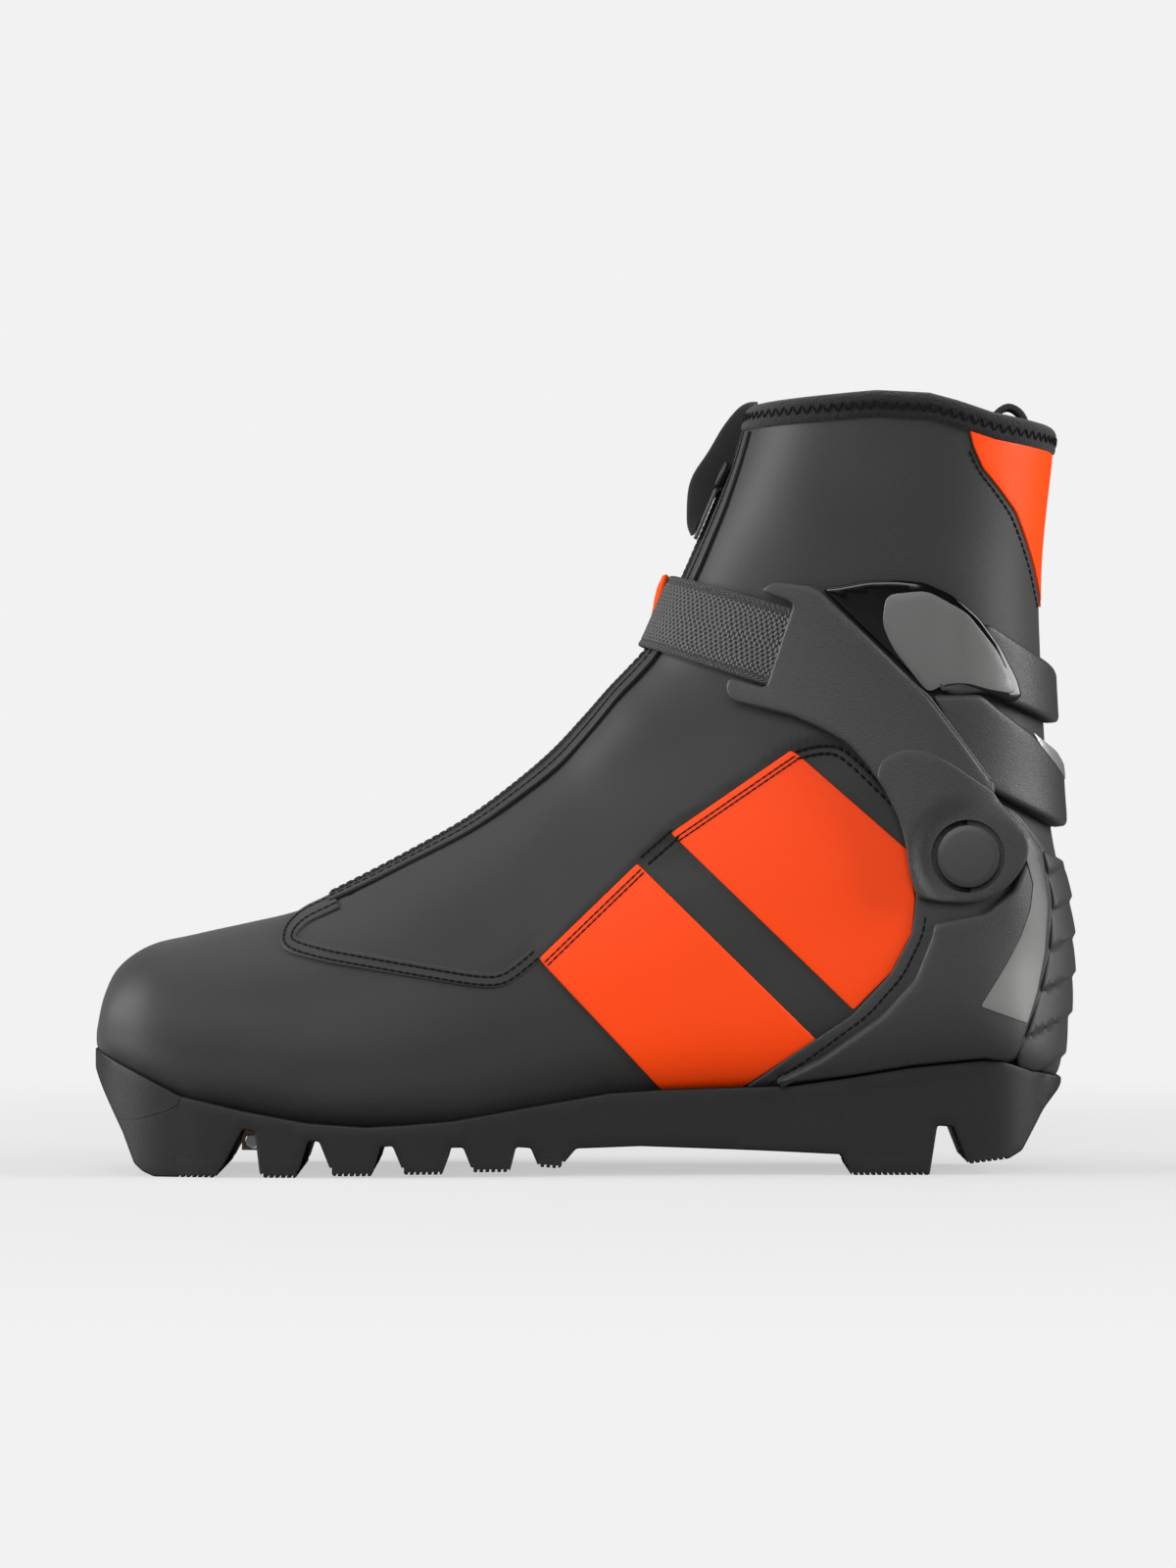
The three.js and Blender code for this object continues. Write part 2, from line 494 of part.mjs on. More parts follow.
add('vamp_shell', softshell.subtract(washerHole).intersect(prism(SHOE_REGION)), 'softshell');
add('lasting_board', boardBlank.intersect(prism(underfoot(BOARD_LIFT))), 'board');
add('foot_lining', recessed(padding.subtract(boardSeat).subtract(laceSlot)).intersect(prism(SHOE_REGION)), 'knit');
const insoleTop = FIT + INSOLE - LINING_INNER;
add('insole', onForm(LINING_INNER - FIT, LINING_FIRST).intersect(prism(underfoot(insoleTop))), 'webbing');

for (const [name, side] of [['inner', -1], ['outer', 1]]) {
  const [low, high] = side > 0 ? [0.5, FAR] : [-FAR, -0.5];
  const panels = onForm(OVERLAY_LIFT + OVERLAY).subtract(onForm(OVERLAY_LIFT));
  add(`quarter_panel_front_${name}`, panels.intersect(prism(PANEL_FRONT, low, high)), 'orange');
  add(`quarter_panel_rear_${name}`, panels.intersect(prism(PANEL_REAR, low, high)), 'orange');
}

// Padding of the ankle, which folds when the cuff flexes.
const gusset = onForm(0).subtract(onForm(LINING_INNER)).subtract(washerHole);
add('instep_gusset', gusset.intersect(prism(INSTEP_REGION)), 'softshell');
add('heel_gusset', gusset.intersect(prism(HEEL_REGION)), 'softshell');

// ---------------------------------------------------------------- heel counter
const POCKET_RADIUS = ARM_END_RADIUS + ARM_SWEEP_GAP;
const pocketSides = (low, high) => rod(POCKET_RADIUS, PIVOT, low, high, 28)
  .add(prism([...POCKET_FLOOR, [60, 140], [124.4, 140], [124.4, 114.5], [127.0, 107.2]], low, high));
const floorSurface = onForm(FIT + COUNTER_FLOOR);
const counterBlank = onForm(FIT + COUNTER_WALL).subtract(onForm(FIT));
const counterOutline = [...COUNTER_FRONT, [99.6, 108.0], ...COUNTER_REAR, [127.5, 34.8], [120.6, 35.6],
  [98.4, 33.5], [80.1, 30.5], [61.8, 27.9]];
const pinHole = rod(PIN_RADIUS + FIT, PIVOT, -FAR, FAR, 20);
const backStrip = onForm(FIT + 1.0).subtract(onForm(FIT)).intersect(prism([[128, 36.5], [128, 92],
  [160, 92], [160, 36.5]]));
const EAR_BASE = 99;                     // above this level the counter stands off the moving shaft
const earRelief = onForm(1.4).intersect(block([-FAR, -FAR, EAR_BASE], [FAR, FAR, FAR]));
const counter = counterBlank.intersect(prism(counterOutline)).subtract(earRelief)
  .subtract(pocketSides(-FAR, FAR).subtract(floorSurface))
  .subtract(pinHole)
  .add(backStrip);
add('heel_counter', counter, 'plastic');

const wrapOutline = [[143.6, 97.6], [160, 92], [160, 30.5], [146.4, 28.8], [131.0, 33.4],
  ...COUNTER_REAR.slice(3).reverse().map(([x, z]) => [x + 0.5, z]), [139.4, 99.2]];
add('heel_wrap', onForm(FIT + HEEL_WRAP).subtract(onForm(2 * FIT + 1.0)).intersect(prism(wrapOutline)), 'rubber');

for (const [name, side] of [['inner', -1], ['outer', 1]]) {
  const [low, high] = side > 0 ? [0.5, FAR] : [-FAR, -0.5];
  const strip = onForm(COUNTER_WALL + 2 * FIT + 0.5).subtract(onForm(COUNTER_WALL + 2 * FIT));
  add(`counter_stripe_${name}`, strip.intersect(prism(STRIPE, low, high)), 'reflective');
}

// ---------------------------------------------------------------- ankle hinges
for (const [name, side] of [['inner', -1], ['outer', 1]]) {
  add(`pivot_washer_${name}`, turned([[PIN_RADIUS + FIT, WASHER_Y], [WASHER_RADIUS, WASHER_Y],
    [WASHER_RADIUS, WASHER_Y + WASHER_HEIGHT], [PIN_RADIUS + FIT, WASHER_Y + WASHER_HEIGHT],
    [PIN_RADIUS + FIT, WASHER_Y]], side), 'steel');
  add(`pivot_pin_${name}`, turned([[0, WASHER_Y - 0.2], [PIN_RADIUS, WASHER_Y - 0.2],
    [PIN_RADIUS, HEAD_Y - 1.2], [0, HEAD_Y - 1.2]], side), 'steel');
  add(`pivot_cap_${name}`, turned([[0, HEAD_Y - 0.9], [CAP_RADIUS - 0.6, HEAD_Y - 0.9],
    [CAP_RADIUS, HEAD_Y - 0.4], [CAP_RADIUS, HEAD_Y + 0.5], [CAP_RADIUS - 1, HEAD_Y + 1.1],
    [0, HEAD_Y + 1.3]], side), 'plastic');
}

// ---------------------------------------------------------------- cuff
const armSurfaceOuter = onForm(CUFF_LIFT + CUFF_WALL);
const armSurfaceInner = onForm(CUFF_LIFT);
const armDisc = rod(ARM_END_RADIUS, PIVOT, -FAR, FAR, 28);
const capSeat = (side) => {
  const floor = HEAD_Y - 1.2;
  const [low, high] = side > 0 ? [floor, FAR] : [-FAR, -floor];
  return rod(CAP_RADIUS + 1.5, PIVOT, low, high, 28);
};
const armOutline = prism(ARM).add(armDisc).subtract(prism(STRAP_NOTCH));
const boss = rod(ARM_END_RADIUS, PIVOT, -HEAD_Y, HEAD_Y, 28).subtract(armSurfaceInner);
const bandLayer = onForm(BAND_LIFT + BAND_WALL).subtract(onForm(BAND_LIFT));
const BRIDGE = [[98, 146], [101.4, 148.6], [106.4, 149.9], [112.2, 150.7], [119, 150.7], [119, 143], [104, 143]];
const bands = bandLayer.intersect(prism(UPPER_BAND).add(prism(LOWER_BAND)).add(prism(BRIDGE)));
const arms = armSurfaceOuter.subtract(armSurfaceInner).intersect(armOutline);
const tie = onForm(CUFF_LIFT + CUFF_WALL).subtract(onForm(BAND_LIFT)).intersect(prism([[96, 152.6],
  [103.4, 145.8], [112.5, 132.9], [121.4, 119.2], [112, 119.2], [88, 149]]));
const cuff = arms.add(boss).add(tie).add(bands).subtract(pinHole).subtract(capSeat(1)).subtract(capSeat(-1));
add('cuff_shell', cuff, 'plastic');

for (const [name, side] of [['inner', -1], ['outer', 1]]) {
  const [low, high] = side > 0 ? [0.5, FAR] : [-FAR, -0.5];
  const glass = onForm(4.2).subtract(onForm(BAND_LIFT));
  add(`gloss_window_${name}`, glass.intersect(prism(WINDOW, low, high)), 'gloss');
}
add('cuff_reflector', onForm(BAND_LIFT + BAND_WALL + FIT + 0.6).subtract(onForm(BAND_LIFT + BAND_WALL + FIT))
  .intersect(prism(REFLECTOR)), 'reflective');

// ---------------------------------------------------------------- shaft
const shaftPrism = prism(SHAFT_REGION).intersect(prism(BELOW_COLLAR));
const sleeve = softshell.subtract(washerHole).intersect(shaftPrism);
add('shaft_sleeve', sleeve, 'softshell');
add('shaft_lining', recessed(padding).intersect(shaftPrism), 'knit');
add('collar_binding', onForm(BINDING_WALL).subtract(onForm(LINING_INNER)).intersect(prism(AT_COLLAR)), 'knit');
const tabTop = raised(COLLAR_TOP.slice(5), -BINDING_HEIGHT - FIT).reverse();
add('heel_tab', onForm(FIT + OVERLAY).subtract(onForm(FIT)).intersect(prism([...HEEL_TAB, ...tabTop])), 'orange');

const tongueReach = block([-60, -17, 60], [80, 17, 240]);
const tongueLayer = onForm(LINING_INNER - FIT, LINING_FIRST).subtract(onForm(LINING_INNER - FIT - 2.6, LINING_FIRST));
const frontOnly = prism([[-FAR, -FAR], [PIVOT.x - 45, -FAR], [PIVOT.x - 45, FAR], [-FAR, FAR]]);
add('tongue', tongueLayer.intersect(tongueReach).intersect(frontOnly).intersect(shaftPrism), 'knit');

// ---------------------------------------------------------------- strap
const [su, sl] = [STRAP_ENDS.upper, STRAP_ENDS.lower];
const strapUp = new THREE.Vector2(su[0] - sl[0], su[1] - sl[1]).normalize();
const strapLift = (point) => {
  const level = (point.x - STRAP_FRONT.lower[0]) * strapUp.x + (point.z - STRAP_FRONT.lower[1]) * strapUp.y;
  const free = THREE.MathUtils.clamp(2.6 + level * 0.17, 2.2, 8.0);
  const under = THREE.MathUtils.smoothstep(point.x, 14, 40);
  return free + (CUFF_LIFT - STRAP_THICKNESS - FIT - free) * under;
};
const STRAP_TAB = 12;                    // length of strap sewn behind each cuff arm
const behind = ([x, z], length) => [x + strapUp.y * length, z - strapUp.x * length];
const strapFront = [STRAP_FRONT.lower, [-30, 176.2], [-22, 199.4], STRAP_FRONT.upper];
const strapOutline = [behind(su, STRAP_TAB), behind(sl, STRAP_TAB), ...strapFront];
const strapSurface = (extra) => onForm((point) => strapLift(point) + extra);
const strap = strapSurface(STRAP_THICKNESS).subtract(strapSurface(0)).intersect(prism(strapOutline));
add('instep_strap', strap, 'webbing');

const tailSurface = strapSurface(2 * STRAP_THICKNESS + FIT).subtract(strapSurface(STRAP_THICKNESS + FIT));
const TAIL_GAP = 1.2;                    // strap tail's fold to the rear edge of its notch
const tailOutline = [behind(su, -TAIL_GAP), behind(sl, -TAIL_GAP), ...strapFront];
const TAIL_END_Y = -14;
const TIP_LENGTH = 9;
const inY = (low, high) => block([-FAR, low, -FAR], [FAR, high, FAR]);
add('strap_tail', tailSurface.intersect(prism(tailOutline)).intersect(inY(TAIL_END_Y + TIP_LENGTH + FIT, FAR)), 'webbing');
add('strap_tip', tailSurface.intersect(prism(tailOutline)).intersect(inY(TAIL_END_Y, TAIL_END_Y + TIP_LENGTH)), 'orange');

// ---------------------------------------------------------------- zip and its flap
const ZIP_HALF = 6;
const ZIP_Y = -5;                        // the zip runs beside the middle, towards the inner side
const zipBand = onForm(FIT + 0.9).subtract(onForm(FIT)).intersect(inY(ZIP_Y - ZIP_HALF, ZIP_Y + ZIP_HALF));
const zipFront = [[-80, 60], [-80, 250], [75, 250], [75, 150], [20, 100]];
add('zip_tape_upper', zipBand.intersect(prism(zipFront)).intersect(shaftPrism), 'knit');
add('zip_tape_lower', zipBand.intersect(prism(zipFront)).intersect(prism(SHOE_REGION)), 'knit');

const ZIP_DIRECTION = new THREE.Vector2(-0.389, -0.921);
const SLIDER = { x: 43.6, z: 213.5, length: 8, width: 7, lift: 1.7, thick: 1.7 };
const along = ({ x, z }, distance, lift) => [
  x + ZIP_DIRECTION.x * distance + ZIP_DIRECTION.y * lift,
  z + ZIP_DIRECTION.y * distance - ZIP_DIRECTION.x * lift];
const sliderOutline = [along(SLIDER, -SLIDER.length / 2, SLIDER.lift), along(SLIDER, SLIDER.length / 2, SLIDER.lift),
  along(SLIDER, SLIDER.length / 2, SLIDER.lift + SLIDER.thick), along(SLIDER, -SLIDER.length / 2, SLIDER.lift + SLIDER.thick)];
add('zip_slider', prism(sliderOutline, ZIP_Y - SLIDER.width / 2, ZIP_Y + SLIDER.width / 2), 'steel');

const PULL = { start: 4.8, end: 21.5, low: 1.8, thick: 1.2, half: 3.0 };
const pullOutline = [along(SLIDER, PULL.start, PULL.low), along(SLIDER, PULL.end, PULL.low),
  along(SLIDER, PULL.end, PULL.low + PULL.thick), along(SLIDER, PULL.start, PULL.low + PULL.thick)];
add('zip_pull', prism(pullOutline, ZIP_Y - PULL.half, ZIP_Y + PULL.half), 'webbing');

function stripOutline(points, thickness) {
  const curve = new THREE.SplineCurve(points.map(([x, z]) => new THREE.Vector2(x, z)));
  const samples = curve.getPoints(14);
  const shifted = samples.map((point, index) => {
    const tangent = curve.getTangent(index / 14);
    return [point.x - tangent.y * thickness, point.y + tangent.x * thickness];
  });
  return [...samples.map((point) => [point.x, point.y]), ...shifted.reverse()];
}
const FLAP_START_Y = ZIP_Y + PULL.half + 0.6;
add('zip_flap', prism(stripOutline(FLAP_PROFILE, FLAP_THICKNESS), FLAP_START_Y, FLAP_START_Y + FLAP_WIDTH), 'knit');

// ---------------------------------------------------------------- pull loop at the heel
const LOOP_PATH = [[135.6, 221.4], [130.6, 222.7], [124.8, 228.0], [125.0, 233.0], [129.4, 236.0],
  [133.6, 234.0], [135.9, 229.0], [135.8, 224.6]];
function pullLoop() {
  const curve = new THREE.CatmullRomCurve3(LOOP_PATH.map(([x, z]) => new THREE.Vector3(x, 0, z)), true);
  const outer = curve.getPoints(28).slice(0, -1).map((point) => [point.x, point.z]);
  const centre = outer.reduce(([x, z], [px, pz]) => [x + px / outer.length, z + pz / outer.length], [0, 0]);
  const inner = outer.map(([x, z]) => {
    const away = new THREE.Vector2(x - centre[0], z - centre[1]);
    away.setLength(away.length() - LOOP_THICKNESS);
    return [centre[0] + away.x, centre[1] + away.y];
  });
  return prism(outer, -LOOP_WIDTH / 2, LOOP_WIDTH / 2).subtract(prism(inner, -LOOP_WIDTH, LOOP_WIDTH));
}
add('heel_pull_loop', pullLoop(), 'knit');

// ---------------------------------------------------------------- lace under the zipped cover
function laceTube() {
  const rings = offsetRings(-LACE_ROWS.depth);
  const points = [];
  for (let crossing = 0; crossing <= LACE_ROWS.crossings; crossing += 1) {
    const level = LACE_ROWS.first + ((LACE_ROWS.last - LACE_ROWS.first) * crossing) / LACE_ROWS.crossings;
    const row = Math.floor(level);
    const a = rings[row][0];
    const b = rings[Math.min(row + 1, rings.length - 1)][0];
    const ridge = a.clone().lerp(b, level - row);
    const side = crossing % 2 ? 1 : -1;
    points.push(new THREE.Vector3(ridge.x, side * LACE_ROWS.half, ridge.z - 2.4));
    if (crossing < LACE_ROWS.crossings) {
      points.push(new THREE.Vector3(ridge.x + 4, 0, ridge.z + 0.4));
    }
  }
  const curve = new THREE.CatmullRomCurve3(points);
  const circle = new THREE.Shape();
  circle.absarc(0, 0, LACE_ROWS.radius, 0, Math.PI * 2);
  return solid(new THREE.ExtrudeGeometry(circle, { steps: 30, curveSegments: 3, extrudePath: curve }));
}
add('lace', laceTube(), 'webbing');

export default group;
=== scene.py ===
"""Cross-country ski boot, seen square from its inner side: the looks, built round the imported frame.

The boot's form is a loft of slanted sections, the same that the solids are cut from. Every skin,
overlay and shell follows it at its own distance. Lengths in tables are millimetres.
"""
import math

import bmesh
import bpy
import numpy as np
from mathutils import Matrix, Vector, noise
from mathutils.geometry import delaunay_2d_cdt


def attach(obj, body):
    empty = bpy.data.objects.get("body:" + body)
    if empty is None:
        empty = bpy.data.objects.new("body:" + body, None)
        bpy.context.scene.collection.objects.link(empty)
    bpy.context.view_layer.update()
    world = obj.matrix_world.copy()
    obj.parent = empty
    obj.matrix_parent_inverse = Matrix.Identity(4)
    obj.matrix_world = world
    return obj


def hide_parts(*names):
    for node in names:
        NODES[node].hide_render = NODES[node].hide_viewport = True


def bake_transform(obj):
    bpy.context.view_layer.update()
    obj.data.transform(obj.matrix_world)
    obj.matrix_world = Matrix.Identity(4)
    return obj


MM = 0.001
INNER, OUTER = -1, 1                      # sides of the right foot: inner is -Y

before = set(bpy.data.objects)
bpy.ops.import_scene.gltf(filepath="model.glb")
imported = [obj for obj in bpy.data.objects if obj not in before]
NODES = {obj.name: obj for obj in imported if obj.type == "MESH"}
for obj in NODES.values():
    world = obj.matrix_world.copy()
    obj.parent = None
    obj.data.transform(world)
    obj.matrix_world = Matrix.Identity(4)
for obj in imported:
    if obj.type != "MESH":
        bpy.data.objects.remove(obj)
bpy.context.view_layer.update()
bpy.ops.object.select_all(action="DESELECT")

# ------------------------------------------------------------------ the boot's form
# rail x, rail z, base x, base z, half width, widest level, squareness below, above, lean
SECTIONS = np.array([
    (-151.0, 43.5, -151.0, 39.6, 5.0, 0.48, 2.2, 2.2, -4.5),
    (-150.6, 46.0, -150.6, 37.6, 11.5, 0.45, 2.4, 2.4, -4.5),
    (-148.4, 55.2, -148.0, 34.5, 21.5, 0.42, 3.0, 2.4, -4.5),
    (-144.0, 63.2, -142.5, 31.2, 28.8, 0.38, 3.6, 2.4, -4.2),
    (-134.5, 69.5, -133.0, 26.6, 36.6, 0.35, 4.0, 2.4, -3.6),
    (-121.0, 72.8, -119.0, 20.6, 42.4, 0.33, 4.4, 2.3, -2.8),
    (-104.1, 76.5, -101.5, 17.3, 46.6, 0.32, 4.6, 2.2, -1.6),
    (-88.2, 80.6, -83.0, 13.8, 48.6, 0.31, 4.8, 2.1, -0.6),
    (-72.5, 88.0, -64.0, 12.6, 49.4, 0.30, 4.8, 2.0, 0),
    (-54.5, 97.4, -43.0, 13.8, 47.8, 0.29, 4.8, 2.0, 0),
    (-36.6, 107.6, -19.0, 17.8, 44.2, 0.29, 4.6, 2.0, 0),
    (-22.0, 118.3, 7.0, 22.0, 40.6, 0.30, 4.4, 2.1, 0),
    (-10.3, 128.3, 38.0, 23.6, 38.0, 0.33, 4.2, 2.2, 0),
    (-0.5, 138.7, 72.0, 25.4, 36.8, 0.36, 4.6, 2.4, 0),
    (7.5, 147.8, 103.0, 29.4, 36.4, 0.38, 4.6, 2.6, 0),
    (14.0, 154.6, 127.0, 30.2, 36.2, 0.38, 3.8, 2.7, 0),
    (20.0, 161.6, 141.6, 29.8, 36.0, 0.38, 2.7, 2.8, 0),
    (25.2, 171.0, 146.4, 47.5, 35.8, 0.40, 2.3, 2.8, 0),
    (29.4, 180.4, 147.8, 67.0, 35.6, 0.42, 2.3, 2.7, 0),
    (33.0, 188.5, 146.2, 87.0, 35.6, 0.44, 2.3, 2.6, 0),
    (36.6, 197.0, 142.6, 107.0, 36.0, 0.45, 2.3, 2.5, 0),
    (40.2, 205.4, 141.0, 131.0, 37.0, 0.46, 2.3, 2.4, 0),
    (43.2, 212.4, 139.6, 158.0, 37.8, 0.48, 2.3, 2.4, 0),
    (46.2, 220.4, 139.4, 188.0, 38.6, 0.50, 2.3, 2.4, 0),
    (50.4, 236.2, 143.5, 226.5, 39.6, 0.50, 2.3, 2.3, 0),
    (54.2, 252.0, 146.0, 246.0, 40.0, 0.50, 2.3, 2.3, 0),
])
STEPS = 12                                # fine sections from one row of the table to the next
HALF = 96                                 # columns from the upper rail down one side to the lower
COLUMNS = 2 * HALF
GIRTH = 300.0                             # length that stands for once round any section


def smooth_rows(rows, steps):
    """Rows of a table, joined by smooth curves."""
    line = np.vstack([2 * rows[0] - rows[1], rows, 2 * rows[-1] - rows[-2]])
    out = []
    for a, b, c, d in zip(line, line[1:], line[2:], line[3:]):
        for f in np.arange(steps) / steps:
            out.append(0.5 * (2 * b + (c - a) * f + (2 * a - 5 * b + 4 * c - d) * f * f
                              + (3 * b - a - 3 * c + d) * f ** 3))
    return np.array(out + [rows[-1]])


def loft():
    """Points of every fine section, evenly spaced round it, and each point's level on it."""
    fine = smooth_rows(SECTIONS, STEPS)
    turn = math.pi * (0.5 - 0.5 * np.cos(np.linspace(0, math.pi, 501)))
    rings, levels = [], []
    for rail_x, rail_z, base_x, base_z, half, level, below, above, lean in fine:
        up, square = np.cos(turn), np.where(np.cos(turn) >= 0, above, below)
        reach = np.sign(up) * np.abs(up) ** (2 / square)
        along = level + reach * np.where(up >= 0, 1 - level, level)
        across = half * np.abs(np.sin(turn)) ** (2 / square)
        line = np.stack([base_x + (rail_x - base_x) * along, across,
                         base_z + (rail_z - base_z) * along], 1)
        run = np.r_[0, np.cumsum(np.linalg.norm(np.diff(line, axis=0), axis=1))]
        even = np.linspace(0, run[-1], HALF + 1)
        side = np.stack([np.interp(even, run, line[:, k]) for k in range(3)], 1)
        other = side[1:-1][::-1] * (1, -1, 1)
        rings.append(np.vstack([side, other]) + (0, lean, 0))
        levels.append(np.interp(even, run, along))
    return fine, np.array(rings), np.array(levels)


FINE, SKIN, LEVELS = loft()
ROWS = len(FINE)
_along = np.gradient(SKIN, axis=0)
_round = np.roll(SKIN, -1, 1) - np.roll(SKIN, 1, 1)
OUT = np.cross(_along, _round)
OUT /= np.maximum(np.linalg.norm(OUT, axis=2, keepdims=True), 1e-9)
SIGMA = np.r_[0, np.cumsum(np.linalg.norm(np.diff(SKIN[:, HALF // 2], axis=0), axis=1))]


def skin(sigma, tau, lift=0.0):
    """Points at a lift from the form. sigma runs from toe to collar, tau round the section."""
    row = np.interp(sigma, SIGMA, np.arange(ROWS))
    column = (np.asarray(tau, float) / GIRTH % 1.0) * COLUMNS
    r, c = np.minimum(row.astype(int), ROWS - 2), column.astype(int) % COLUMNS
    fr, fc = (row - r)[..., None], (column - column.astype(int))[..., None]

    def mixed(table):
        near = table[r, c] * (1 - fr) + table[r + 1, c] * fr
        far = table[r, (c + 1) % COLUMNS] * (1 - fr) + table[r + 1, (c + 1) % COLUMNS] * fr
        return near * (1 - fc) + far * fc
    return mixed(SKIN) + np.asarray(lift, float)[..., None] * mixed(OUT)


def locate(points, side):
    """sigma and tau of places seen from the side; a place past the outline goes to its edge."""
    p = np.asarray(points, float).reshape(-1, 2)
    rail, base = FINE[:, 0:2], FINE[:, 2:4]
    axis = rail - base
    away = p[:, None] - base[None]
    turn = away[..., 0] * axis[None, :, 1] - away[..., 1] * axis[None, :, 0]
    level = (away * axis[None]).sum(2) / (axis ** 2).sum(1)[None]
    cross = (np.sign(turn[:, 1:]) != np.sign(turn[:, :-1]))
    miss = np.maximum(0, np.abs(level[:, 1:] - 0.5) - 0.5) + np.where(cross, 0, 1e3)
    row = miss.argmin(1)
    pick = np.arange(len(p))
    a, b = turn[pick, row], turn[pick, row + 1]
    f = np.clip(np.where(a == b, 0, a / (a - b + 1e-12)), 0, 1)
    u = level[pick, row] * (1 - f) + level[pick, row + 1] * f
    t = np.array([np.interp(-v, -(LEVELS[r] * (1 - g) + LEVELS[r + 1] * g), np.arange(HALF + 1))
                  for v, r, g in zip(u, row, f)]) / COLUMNS
    sigma = SIGMA[row] * (1 - f) + SIGMA[row + 1] * f
    return np.stack([sigma, GIRTH * (t if side == OUTER else 1 - t)], 1)


def at_y(sigma, y):
    """tau of the places beside the upper rail that are at a given y."""
    sigma, y = np.broadcast_arrays(np.asarray(sigma, float), np.asarray(y, float))
    row = np.rint(np.interp(sigma, SIGMA, np.arange(ROWS))).astype(int)
    column = np.array([np.interp(abs(v - FINE[r, 8]), SKIN[r, :HALF // 2, 1] - FINE[r, 8],
                                 np.arange(HALF // 2)) for r, v in zip(row.ravel(), y.ravel())])
    tau = (column / COLUMNS * GIRTH).reshape(y.shape)
    return np.where(y - FINE[row, 8] >= 0, tau, GIRTH - tau)


def sigma_where(height, tau, first=0.3):
    """For each tau, the sigma at which height(x, z), rising towards the collar, passes zero."""
    lines = np.linspace(SIGMA[-1] * first, SIGMA[-1], 600)
    p = skin(lines[:, None] + 0 * tau[None], tau[None] + 0 * lines[:, None])
    h = height(p[..., 0], p[..., 2])
    k = np.argmax(h > 0, 0)
    k = np.clip(k, 1, len(lines) - 1)
    j = np.arange(len(tau))
    f = np.clip(-h[k - 1, j] / (h[k, j] - h[k - 1, j] + 1e-12), 0, 1)
    return lines[k - 1] * (1 - f) + lines[k] * f


# ------------------------------------------------------------------ outlines
def rounded(outline, radius, closed=True):
    """An outline with its corners rounded off."""
    p = np.asarray(outline, float)
    if radius <= 0:
        return p
    out = [] if closed else [p[0]]
    for i in range(0 if closed else 1, len(p) if closed else len(p) - 1):
        a, b, c = p[i - 1], p[i], p[(i + 1) % len(p)]
        cut_a = b + (a - b) * min(0.5, radius / max(np.linalg.norm(a - b), 1e-9))
        cut_c = b + (c - b) * min(0.5, radius / max(np.linalg.norm(c - b), 1e-9))
        for f in (0, 0.25, 0.5, 0.75, 1):
            out.append((1 - f) ** 2 * cut_a + 2 * f * (1 - f) * b + f * f * cut_c)
    return np.array(out if closed else out + [p[-1]])


def dense(line, step, closed=False):
    """A line with points no further than step apart, without repeats."""
    p = np.asarray(line, float)
    p = np.vstack([p, p[:1]]) if closed else p
    keep = np.r_[True, np.linalg.norm(np.diff(p, axis=0), axis=1) > 1e-6]
    p = p[keep]
    out = []
    for a, b in zip(p, p[1:]):
        n = max(1, int(math.ceil(np.linalg.norm(b - a) / step)))
        out += [a + (b - a) * k / n for k in range(n)]
    return np.array(out if closed else out + [p[-1]])


def even(line, step):
    """Points of a line at even spacing."""
    p = np.asarray(line, float)
    run = np.r_[0, np.cumsum(np.linalg.norm(np.diff(p, axis=0), axis=1))]
    at = np.linspace(0, run[-1], max(2, int(round(run[-1] / step)) + 1))
    return np.stack([np.interp(at, run, p[:, k]) for k in range(p.shape[1])], 1)


def within(points, outline):
    """Which points lie inside a closed outline."""
    x, y = points[:, 0][:, None], points[:, 1][:, None]
    a, b = outline, np.roll(outline, -1, 0)
    hit = (a[:, 1] > y) != (b[:, 1] > y)
    slope = (b[:, 0] - a[:, 0]) * (y - a[:, 1]) / (b[:, 1] - a[:, 1] + 1e-12) + a[:, 0]
    return (hit & (x < slope)).sum(1) % 2 == 1


def distance(points, line):
    """Distance of each point from a line."""
    best = np.full(len(points), 1e9)
    for a, b in zip(line, line[1:]):
        d = b - a
        t = np.clip(((points - a) @ d) / max(d @ d, 1e-9), 0, 1)
        best = np.minimum(best, np.linalg.norm(points - a - t[:, None] * d, axis=1))
    return best


def shifted(line, by):
    """A line moved sideways, to its left for a positive distance."""
    p = np.asarray(line, float)
    d = np.gradient(p, axis=0)
    d /= np.maximum(np.linalg.norm(d, axis=1, keepdims=True), 1e-9)
    return p + by * np.stack([-d[:, 1], d[:, 0]], 1)


def step_up(value, low, high):
    t = np.clip((np.asarray(value, float) - low) / (high - low), 0, 1)
    return t * t * (3 - 2 * t)


def bump(value, width):
    return np.exp(-(np.asarray(value) / width) ** 2)


# ------------------------------------------------------------------ meshes
def mesh_piece(name, points, faces, uv=None):
    """A closed mesh piece from points in millimetres, its faces turned outwards."""
    mesh = bpy.data.meshes.new(name)
    mesh.from_pydata([tuple(p) for p in np.asarray(points, float) * MM], [], faces)
    piece = bpy.data.objects.new(name, mesh)
    bpy.context.scene.collection.objects.link(piece)
    if uv is not None:
        layer = mesh.uv_layers.new(name="UVMap")
        corner = np.zeros(len(mesh.loops), int)
        mesh.loops.foreach_get("vertex_index", corner)
        layer.data.foreach_set("uv", np.asarray(uv, float)[corner].ravel())
    outward(piece)
    return piece


